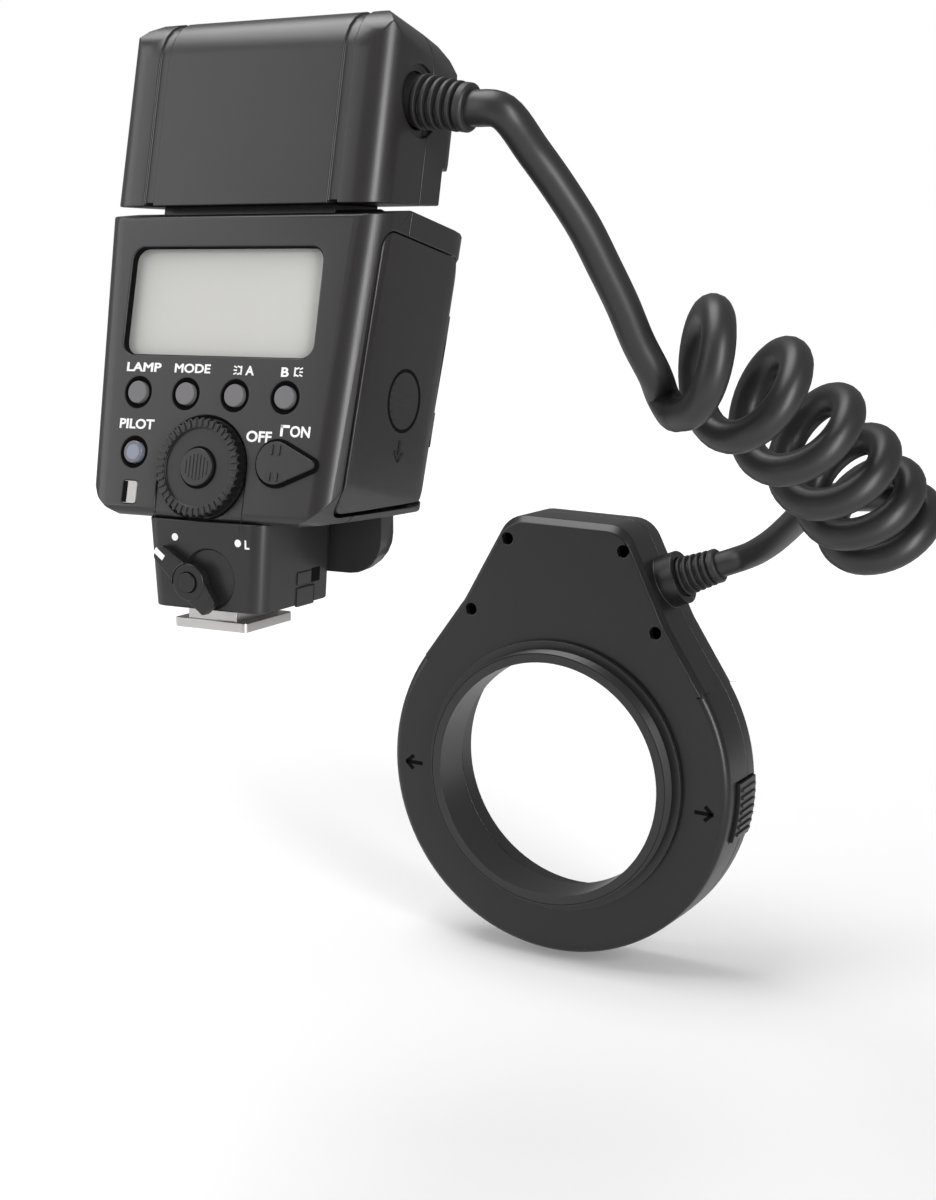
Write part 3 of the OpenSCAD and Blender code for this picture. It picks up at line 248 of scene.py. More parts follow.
class DetailSettings(bpy.types.PropertyGroup):
    """Sizes of fine parts."""

    shell_edge: length_property("Shell edge", "Rounding of the shells' edges", 0.0003)
    fine_edge: length_property("Fine edge", "Rounding of small parts' edges", 0.00015)
    chin_round: length_property("Chin rounding", "Rounding of the front housing's rear", 0.0025)
    print_height: length_property("Print height", "Thickness of the printed marks", 0.00006)
    thread_radius: length_property("Thread radius", "Radius of the lens thread", 0.0385)
    thread_pitch: length_property("Thread pitch", "Pitch of the lens thread", 0.00075)
    thread_length: length_property("Thread length", "Length of the lens thread", 0.0045)


def settings(name):
    """One of the scene's groups of settings."""
    return getattr(bpy.context.scene, "ring_flash_" + name)


# Finishes

def new_group(name, inputs, outputs):
    """A shader node group with number or vector inputs, given as name: default, and its outputs."""
    group = bpy.data.node_groups.new(name, "ShaderNodeTree")
    for label, default in inputs.items():
        kind = "NodeSocketVector" if default is None else "NodeSocketFloat"
        socket = group.interface.new_socket(label, in_out="INPUT", socket_type=kind)
        if default is not None:
            socket.default_value = default
    for label in outputs:
        group.interface.new_socket(label, in_out="OUTPUT", socket_type="NodeSocketFloat")
    return group, group.nodes.new("NodeGroupInput"), group.nodes.new("NodeGroupOutput")


def moulded_grain():
    """Fine spark texture of a mould: a height, and a roughness that drifts over the surface."""
    if "moulded_grain" in bpy.data.node_groups:
        return bpy.data.node_groups["moulded_grain"]
    group, given, result = new_group(
        "moulded_grain", {"Vector": None, "Scale": 2600.0, "Roughness": 0.5, "Drift": 0.08},
        ["Height", "Roughness"])
    grain = group.nodes.new("ShaderNodeTexNoise")
    grain.inputs["Detail"].default_value = 2
    cloud = group.nodes.new("ShaderNodeTexNoise")
    cloud.inputs["Scale"].default_value = 60
    centred = group.nodes.new("ShaderNodeMath")
    centred.operation = "SUBTRACT"
    centred.inputs[1].default_value = 0.5
    drift = group.nodes.new("ShaderNodeMath")
    drift.operation = "MULTIPLY_ADD"
    link = group.links.new
    link(given.outputs["Vector"], grain.inputs["Vector"])
    link(given.outputs["Scale"], grain.inputs["Scale"])
    link(given.outputs["Vector"], cloud.inputs["Vector"])
    link(cloud.outputs["Fac"], centred.inputs[0])
    link(centred.outputs[0], drift.inputs[0])
    link(given.outputs["Drift"], drift.inputs[1])
    link(given.outputs["Roughness"], drift.inputs[2])
    link(grain.outputs["Fac"], result.inputs["Height"])
    link(drift.outputs[0], result.inputs["Roughness"])
    return group


def plain(name, colour, roughness, metallic=0.0, **sockets):
    """A material with one value all over for each socket."""
    material = bpy.data.materials.new(name)
    material.use_nodes = True
    shader = material.node_tree.nodes["Principled BSDF"]
    shader.inputs["Base Color"].default_value = (*colour, 1)
    shader.inputs["Roughness"].default_value = roughness
    shader.inputs["Metallic"].default_value = metallic
    for label, value in sockets.items():
        shader.inputs[label.replace("_", " ")].default_value = value
    return material


def moulded(name, colour, roughness, scale=2600.0, depth=0.12, drift=0.08, **sockets):
    """Moulded plastic, rubber or metal with a fine grain."""
    material = plain(name, colour, roughness, **sockets)
    nodes, link = material.node_tree.nodes, material.node_tree.links.new
    shader = nodes["Principled BSDF"]
    where = nodes.new("ShaderNodeTexCoord")
    grain = nodes.new("ShaderNodeGroup")
    grain.node_tree = moulded_grain()
    grain.inputs["Scale"].default_value = scale
    grain.inputs["Roughness"].default_value = roughness
    grain.inputs["Drift"].default_value = drift
    bump = nodes.new("ShaderNodeBump")
    bump.inputs["Strength"].default_value = depth
    bump.inputs["Distance"].default_value = 0.1 * MM
    link(where.outputs["Object"], grain.inputs["Vector"])
    link(grain.outputs["Height"], bump.inputs["Height"])
    link(grain.outputs["Roughness"], shader.inputs["Roughness"])
    link(bump.outputs["Normal"], shader.inputs["Normal"])
    return material


def finish(name):
    """One of the object's finishes, made when it is first asked for."""
    if name in bpy.data.materials:
        return bpy.data.materials[name]
    tint = settings("finish")
    makers = {
        "charcoal_shell": lambda: moulded(name, tint.charcoal, 0.33),
        "slate_shell": lambda: moulded(name, tint.slate, 0.34),
        "jet_shell": lambda: moulded(name, tint.jet, 0.34),
        "key_cap": lambda: moulded(name, tint.key_grey, 0.5, depth=0.05),
        "pilot_cap": lambda: plain(name, (0.16, 0.18, 0.24), 0.25, Coat_Weight=0.5),
        "cord_rubber": lambda: moulded(name, tint.cord_black, 0.4, scale=1500, depth=0.05),
        "relief_rubber": lambda: moulded(name, tint.cord_black, 0.5, scale=1800, depth=0.1),
        "crystal": lambda: plain(name, tint.crystal, 0.35),
        "clear_pane": lambda: plain(name, (0.8, 0.8, 0.78), 0.08, Alpha=0.1),
        "indicator": lambda: plain(name, (0.4, 0.39, 0.38), 0.2, Coat_Weight=0.4),
        "print_white": lambda: plain(name, tint.print_white, 0.6),
        "foot_steel": lambda: moulded(name, tint.steel, 0.3, scale=900, depth=0.03, metallic=1.0),
        "contact_gold": lambda: plain(name, (0.72, 0.5, 0.2), 0.25, 1.0),
        "red_window": lambda: plain(name, (0.06, 0.006, 0.008), 0.12, Coat_Weight=0.5),
        "diffuser": lambda: plain(name, (0.72, 0.73, 0.71), 0.3, Coat_Weight=0.3),
        "tube_glass": lambda: plain(name, (0.85, 0.88, 0.88), 0.05, Alpha=0.4),
        "reflector": lambda: plain(name, (0.8, 0.8, 0.78), 0.15, 1.0),
        "board": lambda: plain(name, (0.02, 0.09, 0.04), 0.35),
        "cell_sleeve": lambda: plain(name, (0.18, 0.22, 0.26), 0.3),
        "can_sleeve": lambda: plain(name, (0.03, 0.04, 0.06), 0.3),
        "cage": lambda: moulded(name, (0.05, 0.055, 0.06), 0.5),
        "shadow_black": lambda: plain(name, (0.003, 0.003, 0.003), 0.9, Specular_IOR_Level=0.1),
    }
    return makers[name]()


# Shaping

def new_piece(name, bm, look, node):
    """An object from a bmesh that is already in place, which belongs to a node."""
    mesh = bpy.data.meshes.new(name)
    bm.to_mesh(mesh)
    bm.free()
    piece = bpy.data.objects.new(name, mesh)
    bpy.context.scene.collection.objects.link(piece)
    return settle(piece, look, node)


def settle(piece, look, node):
    """Gives a piece its finish, and the body of the node that it belongs to."""
    coat(piece, look)
    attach(piece, BODY_OF[node])
    return piece


def dress(node, look):
    """Gives a solid that is shown as it is its finish."""
    coat(frame["nodes"][node], look)


def coat(piece, look):
    """Gives an object one finish in place of any that it has."""
    piece.data.materials.clear()
    piece.data.materials.append(finish(look))


def join_flats(bm):
    """Joins the flat faces of a solid into larger ones, though not round a hole."""
    flat = [edge for edge in bm.edges if len(edge.link_faces) == 2 and edge.calc_face_angle(1) < FLAT]
    for edge in flat:
        if not edge.is_valid or len(edge.link_faces) != 2:
            continue
        one, other = edge.link_faces
        once = sum(other in shared.link_faces for shared in one.edges) == 1
        if one is not other and once and len(one.verts) + len(other.verts) < MOST_CORNERS:
            bmesh.utils.face_join((one, other))


def solid_copy(node):
    """A copy of a node's solid, closed and with its flat faces joined."""
    solid = bmesh.new()
    solid.from_mesh(frame["nodes"][node].data)
    bmesh.ops.remove_doubles(solid, verts=solid.verts, dist=WELD_SOLID)
    join_flats(solid)
    return solid


def ease(solid, width):
    """A copy with its sharp edges rounded, but not where the rounding would leave the surface."""
    skin = BVHTree.FromBMesh(solid)
    origin = solid.verts.layers.int.new("origin")
    solid.verts.index_update()
    for vert in solid.verts:
        vert[origin] = vert.index
    kept_sharp = set()
    while True:
        bm = solid.copy()
        origin = bm.verts.layers.int["origin"]
        sharp = [edge for edge in bm.edges if edge.calc_face_angle(0) > SHARP
                 and not kept_sharp.intersection(vert[origin] for vert in edge.verts)]
        bmesh.ops.bevel(bm, geom=sharp, offset=width, offset_type="OFFSET", segments=EDGE_STEPS, profile=0.5,
                        affect="EDGES", clamp_overlap=False, material=-1)
        stray = {vert[origin] for vert in bm.verts if skin.find_nearest(vert.co)[3] > width}
        if not stray - kept_sharp:
            return bm
        kept_sharp |= stray
        bm.free()


def weigh_normals(mesh, angle=SMOOTH):
    """Normals led by the larger faces, so that flats stay flat beside rounded edges."""
    limit = math.cos(angle)
    around = [[] for _ in mesh.vertices]
    for face in mesh.polygons:
        for vertex in face.vertices:
            around[vertex].append((face.normal.copy(), face.area))
    normals = []
    for face in mesh.polygons:
        for vertex in face.vertices:
            near = [normal * area for normal, area in around[vertex] if normal.dot(face.normal) > limit]
            normals.append(sum(near, Vector()).normalized())
    mesh.polygons.foreach_set("use_smooth", [True] * len(mesh.polygons))
    mesh.normals_split_custom_set(normals)


def eased(node, look, width):
    """Stands a copy with rounded edges and smooth shading in for a node."""
    solid = solid_copy(node)
    bm = ease(solid, width)
    solid.free()
    piece = new_piece(node + "_eased", bm, look, node)
    weigh_normals(piece.data)
    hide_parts(node)


def built(name, bm, look, node, edge=0.0):
    """A piece built here, closed, facing outwards and with its sharp edges rounded if an edge is given."""
    bmesh.ops.remove_doubles(bm, verts=bm.verts, dist=WELD_PIECE)
    bmesh.ops.recalc_face_normals(bm, faces=bm.faces)
    if not edge:
        return new_piece(name, bm, look, node)
    rounded = ease(bm, edge)
    bm.free()
    piece = new_piece(name, rounded, look, node)
    weigh_normals(piece.data)
    return piece


def outline(width, height, corner, steps):
    """Points round a rectangle with round corners, in millimetres."""
    points = []
    for quarter, (across, up) in enumerate(((1, 1), (-1, 1), (-1, -1), (1, -1))):
        for step in range(steps + 1):
            angle = math.pi / 2 * (quarter + step / steps)
            points.append((across * (width / 2 - corner) + corner * math.cos(angle),
                           up * (height / 2 - corner) + corner * math.sin(angle)))
    return points


def framed(bm, sections, place, steps=6):
    """A closed frame through outlines, each given as width, height, corner and lift in millimetres."""
    loops = []
    for width, height, corner, lift in sections:
        loops.append([bm.verts.new(place @ (Vector((x, y, lift)) * MM))
                      for x, y in outline(width, height, corner, steps)])
    for one, other in zip(loops, loops[1:] + loops[:1]):
        for k in range(len(one)):
            bm.faces.new((one[k - 1], one[k], other[k], other[k - 1]))


def ringed(bm, profile, place, sides=RING_SIDES):
    """A closed ring from a profile of radii and lifts, in millimetres."""
    verts = [bm.verts.new(place @ (Vector((radius, 0, lift)) * MM)) for radius, lift in profile]
    edges = [bm.edges.new(pair) for pair in zip(verts, verts[1:] + verts[:1])]
    bmesh.ops.spin(bm, geom=verts + edges, cent=place.translation, axis=place.col[2].to_3d(),
                   angle=2 * math.pi, steps=sides, use_merge=True)


def band(bm, outer, inner, low, high, place, sides=RING_SIDES):
    """A flat ring between two radii and two lifts, in millimetres."""
    ringed(bm, ((outer, low), (outer, high), (inner, high), (inner, low)), place, sides)


def prism(bm, points, low, high, place):
    """A plate with an outline on a surface, between two lifts, in millimetres."""
    foot = bm.faces.new([bm.verts.new(place @ (Vector((x, y, low)) * MM)) for x, y in points])
    drawn = bmesh.ops.extrude_face_region(bm, geom=[foot])
    lifted = [item for item in drawn["geom"] if isinstance(item, bmesh.types.BMVert)]
    bmesh.ops.translate(bm, vec=place.to_3x3() @ Vector((0, 0, (high - low) * MM)), verts=lifted)


def slab(bm, size, place, at=(0, 0), turn=0.0):
    """A thin block, half sunk in a surface: size across, up and out, in millimetres, turned on it."""
    scale = Matrix.Diagonal((size[0] * MM, size[1] * MM, size[2] * MM, 1))
    move = Matrix.Translation(Vector((at[0], at[1], 0)) * MM) @ Matrix.Rotation(turn, 4, "Z")
    bmesh.ops.create_cube(bm, size=1, matrix=place @ move @ scale)


def disc(bm, radius, height, place):
    """A low cylinder whose middle is on a surface, in millimetres."""
    bmesh.ops.create_cone(
        bm, cap_ends=True, segments=DISC_SIDES, radius1=radius * MM, radius2=radius * MM,
        depth=height * MM, matrix=place)


def letters(name, text, width, height, place, node):
    """Printed letters, fitted to a width and a height in millimetres."""
    curve = bpy.data.curves.new(name, "FONT")
    curve.body = text
    curve.bevel_depth = BOLDNESS
    curve.bevel_resolution = 1
    curve.resolution_u = 4
    writing = bpy.data.objects.new(name, curve)
    bpy.context.scene.collection.objects.link(writing)
    bpy.context.view_layer.update()
    shaped = writing.evaluated_get(bpy.context.evaluated_depsgraph_get())
    mesh = bpy.data.meshes.new_from_object(shaped)
    bpy.data.objects.remove(writing)
    low = Vector([min(v.co[i] for v in mesh.vertices) for i in range(3)])
    high = Vector([max(v.co[i] for v in mesh.vertices) for i in range(3)])
    wanted = Vector((width * MM, height * MM, 2 * settings("detail").print_height))
    scale = Matrix.Diagonal((*(want / size for want, size in zip(wanted, high - low)), 1))
    bm = bmesh.new()
    bm.from_mesh(mesh)
    bpy.data.meshes.remove(mesh)
    bmesh.ops.transform(bm, matrix=place @ scale @ Matrix.Translation(-(low + high) / 2), verts=bm.verts)
    built(name, bm, "print_white", node)


# Stage

# The sensor's height in millimetres, and in metres the floor's reach and the place that the lights look at
SENSOR = 36
FLOOR_REACH = 8
LIT_PLACE = Vector((0.03, 0.06, 0.02))


def softbox(name, strength, size, place):
    """A soft rectangular light that looks at the object."""
    light = bpy.data.lights.new(name, "AREA")
    light.energy = strength
    light.shape = "RECTANGLE"
    light.size, light.size_y = size
    lamp = bpy.data.objects.new(name, light)
    lamp.location = place
    lamp.rotation_euler = (LIT_PLACE - Vector(place)).to_track_quat("-Z", "Y").to_euler()
    bpy.context.scene.collection.objects.link(lamp)


class RINGFLASH_OT_stage(bpy.types.Operator):
    """Camera, white surroundings, floor and soft light"""

    bl_idname = "ringflash.stage"
    bl_label = "Stage"

    def execute(self, context):
        self.camera(context, settings("camera"))
        self.surroundings(context, settings("stage"))
        self.floor(settings("stage"))
        self.lights(settings("stage"))
        return {"FINISHED"}

    def camera(self, context, view):
        """The view of the photograph."""
        lens = bpy.data.cameras.new("camera")
        lens.sensor_fit = "AUTO"
        lens.sensor_width = SENSOR
        lens.lens = view.lens
        lens.clip_start = 0.01
        camera = bpy.data.objects.new("camera", lens)
        turn = Matrix.Rotation(view.turn, 4, "Z") @ Matrix.Rotation(math.pi / 2 - view.tilt, 4, "X")
        camera.matrix_world = (
            Matrix.Translation(view.place) @ turn @ Matrix.Rotation(view.roll, 4, "Z"))
        context.scene.collection.objects.link(camera)
        context.scene.camera = camera

    def surroundings(self, context, stage):
        """White to the camera, and a plain low light from all round."""
        context.scene.view_settings.view_transform = "Standard"
        world = bpy.data.worlds.new("surroundings")
        world.use_nodes = True
        context.scene.world = world
        nodes, link = world.node_tree.nodes, world.node_tree.links.new
        background = nodes["Background"]
        background.inputs["Color"].default_value = (1, 1, 1, 1)
        strength = nodes.new("ShaderNodeMapRange")
        strength.inputs["To Min"].default_value = stage.ambient
        strength.inputs["To Max"].default_value = 1
        path = nodes.new("ShaderNodeLightPath")
        link(path.outputs["Is Camera Ray"], strength.inputs["Value"])
        link(strength.outputs["Result"], background.inputs["Strength"])

    def floor(self, stage):
        """A pale floor that turns white away from the object, as the camera sees it."""
        bm = bmesh.new()
        bmesh.ops.create_grid(
            bm, x_segments=1, y_segments=1, size=FLOOR_REACH, matrix=Matrix.Translation((0, 0, stage.floor)))
        mesh = bpy.data.meshes.new("floor")
        bm.to_mesh(mesh)
        bm.free()
        floor = bpy.data.objects.new("floor", mesh)
        bpy.context.scene.collection.objects.link(floor)
        pale = plain("pale_floor", (0.8, 0.8, 0.8), 0.9)
        nodes, link = pale.node_tree.nodes, pale.node_tree.links.new
        shader = nodes["Principled BSDF"]
        where = nodes.new("ShaderNodeTexCoord")
        away = nodes.new("ShaderNodeVectorMath")
        away.operation = "LENGTH"
        glow = nodes.new("ShaderNodeMapRange")
        glow.interpolation_type = "SMOOTHSTEP"
        glow.inputs["From Max"].default_value = stage.glow_reach
        glow.inputs["To Min"].default_value = stage.near_glow
        glow.inputs["To Max"].default_value = stage.floor_glow
        path = nodes.new("ShaderNodeLightPath")
        link(where.outputs["Object"], away.inputs[0])
        link(away.outputs["Value"], glow.inputs["Value"])
        link(glow.outputs["Result"], shader.inputs["Emission Color"])
        link(path.outputs["Is Camera Ray"], shader.inputs["Emission Strength"])
        floor.data.materials.append(pale)

    def lights(self, stage):
        """Three softboxes, each with its size and its place."""
        softbox("softbox_right", stage.key, (0.22, 0.9), (0.85, -0.5, 0.25))
        softbox("softbox_top", stage.top, (0.9, 0.6), (-0.3, 0.0, 0.95))
        softbox("softbox_left", stage.fill, (1.0, 1.0), (-0.98, -0.6, 0.4))


# Cord

# The way of the cord, in millimetres: points given to the curls, and the bent axis of the curls
LEAD_FROM = Vector((46.846, 21.803, 108.994))
LEAD_WAY = Vector((0.98769, -0.03519, -0.15243))
LEAD_POINTS = (
    (58.3, 27.8, 100.1), (62.1, 32, 93.1), (66, 36.4, 85), (68.9, 40.4, 76.9),
    (71.6, 44.3, 68.9), (73.9, 48, 60.7), (76.4, 51.6, 53.7))
TAIL_FROM = Vector((46.29, 178, -7.57))
TAIL_WAY = Vector((0.9337, 0, 0.358))
TAIL_POINTS = (
    (58.6, 174.6, -2.3), (65, 168.6, 1.7), (71.6, 160.6, 6.5), (80.5, 148, 13),
    (90.3, 135.2, 18.2), (97.4, 127.8, 20.2), (104.6, 121.4, 21.4))
CURL_AXIS = (Vector((81.2, 49.3, 57.7)), Vector((99.3, 68.1, 52.7)), Vector((114.2, 105.9, 14.9)))
CURL_START = 0.01
CURL_EASE = 1.6
CURL_STEP = 0.001
LEAD_SWAY = Vector((0.4, 1, 3.4))
ROUTE_STEPS = 6


def curl_point(turn, cord):
    """A point of the curly part, in millimetres, after so many turns."""
    left = max(1 - turn / cord.turns, 0)
    along = (turn / cord.turns + cord.opening * (1 - left ** (CURL_EASE + 1))) / (1 + cord.opening)
    first, bend, last = CURL_AXIS
    middle = (1 - along) ** 2 * first + 2 * along * (1 - along) * bend + along ** 2 * last
    way = ((1 - along) * (bend - first) + along * (last - bend)).normalized()
    up = (UP - way.z * way).normalized()
    near = way.cross(up)
    radius = (cord.first_radius + (cord.last_radius - cord.first_radius) * turn / cord.turns) / MM
    angle = 2 * math.pi * (turn + CURL_START)
    back = math.tan(cord.lean) * left ** 3
    return middle - radius * math.cos(angle) * (up - back * way) + radius * math.sin(angle) * near


def curl_way(turn, cord):
    """The way the curly part runs, after so many turns."""
    return (curl_point(turn + CURL_STEP, cord) - curl_point(turn - CURL_STEP, cord)).normalized()


def smooth_way(points, steps):
    """A smooth way through chosen points, with so many steps between each two."""
    ends = [2 * points[0] - points[1], *points, 2 * points[-1] - points[-2]]
    way = []
    for a, b, c, d in zip(ends, ends[1:], ends[2:], ends[3:]):
        for step in range(steps):
            t = step / steps
            way.append((2 * b + (c - a) * t + (2 * a - 5 * b + 4 * c - d) * t ** 2
                        + (3 * b - a - 3 * c + d) * t ** 3) / 2)
    return way + [points[-1]]


class RINGFLASH_OT_cord(bpy.types.Operator):
    """The curly cord, from the head's strain relief to the ring's"""

    bl_idname = "ringflash.cord"
    bl_label = "Cord"

    def execute(self, context):
        cord = settings("cord")
        wide = cord.thickness / MM
        start, start_way = curl_point(0, cord), curl_way(0, cord)
        end, end_way = curl_point(cord.turns, cord), curl_way(cord.turns - CURL_STEP, cord)
        lead = [LEAD_FROM, LEAD_FROM + wide * LEAD_WAY, *map(Vector, LEAD_POINTS),
                start - 9 * start_way + LEAD_SWAY, start - 3 * start_way, start]
        tail = [TAIL_FROM, TAIL_FROM + wide * TAIL_WAY, *map(Vector, TAIL_POINTS), end + 4 * end_way, end]
        count = round(cord.turns * cord.steps)
        curls = [curl_point(cord.turns * i / count, cord) for i in range(1, count)]
        route = smooth_way(lead, ROUTE_STEPS) + curls + smooth_way(tail, ROUTE_STEPS)[::-1]
        piece = self.tube("curly_cord", route, cord.thickness / 2)
        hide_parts("cord_lead", "cord_coil", "cord_tail")
        return {"FINISHED"}

    def tube(self, name, route, radius):
        """A round tube along a route in millimetres."""
        curve = bpy.data.curves.new(name, "CURVE")
        curve.dimensions = "3D"
        curve.bevel_depth = radius
        curve.bevel_resolution = 7
        curve.use_fill_caps = True
        spline = curve.splines.new("POLY")
        spline.points.add(len(route) - 1)
        for point, at in zip(spline.points, route):
            point.co = (*(at * MM), 1)
        spline.use_smooth = True
        piece = bpy.data.objects.new(name, curve)
        bpy.context.scene.collection.objects.link(piece)
        return settle(piece, "cord_rubber", "cord_coil")


# Control unit

# Places on the panel, across and up from the middle of the screen, in millimetres
PILOT = (-19.6, -33)
INDICATOR = (-19.6, -41.7)
SWITCH = (17.3, -33.8)

# Places on the battery door, in millimetres behind the panel and up from the middle of the screen
GRIP = (21.6, -16.5)
DOOR_ARROW = (22.6, -27.5)

# Profiles about a button, as radii and lifts in millimetres: the black dish of painted shade in its seat, and the
# pilot button's rim
SEAT_SHADE_PROFILE = ((3.52, 0.0), (2.84, -0.66), (2.5, -0.66), (2.5, -0.6), (2.8, -0.6), (3.44, 0.03))
RIM_PROFILE = ((2.3, 0.48), (2.25, 0.58), (1.75, 0.58), (1.7, 0.48))


class RINGFLASH_OT_shells(bpy.types.Operator):
    """Shells of the control unit and of the head, with the neck between them"""

    bl_idname = "ringflash.shells"
    bl_label = "Shells"

    def execute(self, context):
        detail = settings("detail")
        for node in ("rear_shell", "front_shell", "head_rear_shell", "head_front_shell"):
            eased(node, "charcoal_shell", detail.shell_edge)
        self.chin(detail)
        eased("neck_block", "jet_shell", detail.shell_edge)
        self.gap_shade()
        eased("assist_window", "red_window", detail.shell_edge)
        return {"FINISHED"}

    def gap_shade(self):
        """Painted shade: a black plate between the neck and the control unit, where shade falls in the gap."""
        bm = bmesh.new()
        slab(bm, (52, 20, 1.5), axes(ACROSS, INWARD, UPWARD, on_panel(6.5, 19.9, -15).translation))
        built("neck_gap_shade", bm, "shadow_black", "neck_block")

    def chin(self, detail):
        """The front housing, cut off in front of the shoe block so that the block's sides show."""
        bm = solid_copy("chin_housing")
        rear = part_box("shoe_block")[1].y + 0.2 * MM
        everything = bm.verts[:] + bm.edges[:] + bm.faces[:]
        bmesh.ops.bisect_plane(
            bm, geom=everything, plane_co=AHEAD * rear, plane_no=AHEAD, clear_inner=True)
        rim = [edge for edge in bm.edges if edge.is_boundary]
        bmesh.ops.holes_fill(bm, edges=rim)
        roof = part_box("chin_housing")[1].z - detail.chin_round
        lower = [edge for edge in rim if max(vert.co.z for vert in edge.verts) < roof]
        bmesh.ops.bevel(bm, geom=lower, offset=detail.chin_round, offset_type="OFFSET", segments=5,
                        profile=0.5, affect="EDGES", clamp_overlap=True, material=-1)
        piece = built("chin_housing_cut", bm, "charcoal_shell", "chin_housing")
        weigh_normals(piece.data, math.radians(40))
        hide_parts("chin_housing")


class RINGFLASH_OT_screen(bpy.types.Operator):
    """Liquid crystal screen and its window, and the indicator"""

    bl_idname = "ringflash.screen"
    bl_label = "Screen"

    def execute(self, context):
        dress("screen_module", "crystal")
        dress("screen_window", "clear_pane")
        dress("indicator_window", "indicator")
        self.recess_shade()
        return {"FINISHED"}

    def recess_shade(self):
        """Painted shade: black sheets on the walls of the screen's recess, in front of its pane and behind it, and
        one beside the indicator, where shade falls.
        """
        panel = settings("panel")
        wide, high, corner = panel.screen_width / MM, panel.screen_height / MM, panel.screen_corner / MM
        middle = on_panel(panel.middle / MM, 0)
        outside, inside = 0.02, 0.3
        bm = bmesh.new()
        for front, back, taper in ((0.35, 1.75, 0.0), (2.85, 3.95, 0.6)):
            framed(bm, [(wide - inset, high - inset, corner, -depth) for inset, depth in (
                (outside, front), (inside, front), (inside + taper, back), (outside, back))], middle)
        slab(bm, (1.1, 4.6, 0.1), on_panel(*INDICATOR, 0.12), (-1.15, 0))
        built("screen_recess_shade", bm, "shadow_black", "rear_shell")


class RINGFLASH_OT_buttons(bpy.types.Operator):
    """Push buttons under the screen, and the pilot button"""

    bl_idname = "ringflash.buttons"
    bl_label = "Buttons"

    def execute(self, context):
        edge = settings("detail").fine_edge
        for node in ("lamp_button", "mode_button", "ratio_button", "balance_button"):
            eased(node, "key_cap", edge)
        eased("test_button", "pilot_cap", edge)
        self.seat_shade(settings("panel"))
        return {"FINISHED"}

    def seat_shade(self, panel):
        """Painted shade: black dished rings in the buttons' seats, where shade falls; and the pilot button's grey
        rim.
        """
        pilot = on_panel(*PILOT)
        row = [on_panel(panel.middle / MM + panel.button_pitch / MM * i, panel.button_row / MM)
               for i in (-1.5, -0.5, 0.5, 1.5)]
        bm = bmesh.new()
        for place in (*row, pilot):
            ringed(bm, SEAT_SHADE_PROFILE, place)
        built("button_seat_shade", bm, "shadow_black", "rear_shell")
        bm = bmesh.new()
        ringed(bm, RIM_PROFILE, pilot)
        built("pilot_rim", bm, "key_cap", "test_button")


class RINGFLASH_OT_dial(bpy.types.Operator):
    """Toothed dial with its button"""

    bl_idname = "ringflash.dial"
    bl_label = "Dial"

    def execute(self, context):
        edge = settings("detail").fine_edge
        eased("dial", "jet_shell", edge)
        eased("dial_button", "slate_shell", edge)
        panel = settings("panel")
        middle = on_panel(panel.middle / MM, panel.dial_height / MM)
        self.shadows(middle)
        self.knurls(panel, middle)
        return {"FINISHED"}

    def shadows(self, middle):
        """Painted shade: black rings in the gaps round the dial and round its button."""
        bm = bmesh.new()
        band(bm, 11.25, 10.75, -0.79, -0.74, middle, DIAL_SIDES)
        built("dial_shadow", bm, "shadow_black", "rear_shell")
        bm = bmesh.new()
        band(bm, 4.55, 4.1, 1.3, 1.36, middle)
        built("dial_button_shadow", bm, "shadow_black", "dial")

    def knurls(self, panel, middle):
        """Ridges on the dial's rim, in line with its teeth, and across its button."""
        rim, reach = raised(middle, 1.9), 9.5
        bm = bmesh.new()
        for tooth in range(panel.dial_teeth):
            angle = 2 * math.pi * tooth / panel.dial_teeth
            slab(bm, (1.7, 0.6, 0.5), rim, (reach * math.cos(angle), reach * math.sin(angle)), angle)
        built("dial_rim_ridges", bm, "jet_shell", "dial", 0.1 * MM)
        face, pitch = raised(middle, 2.2), 0.9
        bm = bmesh.new()
        for i in range(-3, 4):
            slab(bm, (0.4, 5.6 - 0.3 * i * i, 0.3), face, (pitch * i, 0))
        built("dial_button_ridges", bm, "slate_shell", "dial_button", 0.06 * MM)


class RINGFLASH_OT_power_switch(bpy.types.Operator):
    """Power switch"""

    bl_idname = "ringflash.power_switch"
    bl_label = "Power switch"

    def execute(self, context):
        panel = settings("panel")
        hub, tip, reach = panel.switch_hub / MM, panel.switch_tip / MM, panel.switch_reach / MM
        middle, shadow_spread = on_panel(*SWITCH), 0.7
        bm = bmesh.new()
        prism(bm, self.teardrop(hub, tip, reach), 0.3, 1.1, middle)
        for x, z, high in ((-0.9, 2.7, 2.2), (0.9, 2.7, 2.2), (-0.9, -2.9, 1.8), (0.9, -2.9, 1.8)):
            slab(bm, (0.55, high, 0.8), raised(middle, 1.05), (x, z))
        for radius, height, lift in ((2, 3.4, -1), (2.6, 1, -2.4)):
            disc(bm, radius, height, raised(middle, lift))
        edge = settings("detail").fine_edge
        switch = built("power_switch_lever", bm, "charcoal_shell", "power_switch", edge)
        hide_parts("power_switch")
        # Painted shadow: a black teardrop a little larger than the switch, just under it.
        bm = bmesh.new()
        prism(bm, self.teardrop(hub + shadow_spread, tip + shadow_spread, reach + shadow_spread), 0.1, 0.25, middle)
        built("power_switch_shadow", bm, "shadow_black", "power_switch")
        return {"FINISHED"}

    def teardrop(self, hub, tip, reach, steps=16):
        """Points round a hub and a smaller tip that points to the right, in millimetres."""
        far = reach - tip
        lean = math.acos((hub - tip) / far)
        points = []
        arcs = ((0, hub, lean, 2 * math.pi - 2 * lean), (far, tip, -lean, 2 * lean))
        for middle, radius, start, turn in arcs:
            for step in range(steps + 1):
                angle = start + turn * step / steps
                points.append((middle + radius * math.cos(angle), radius * math.sin(angle)))
        return points


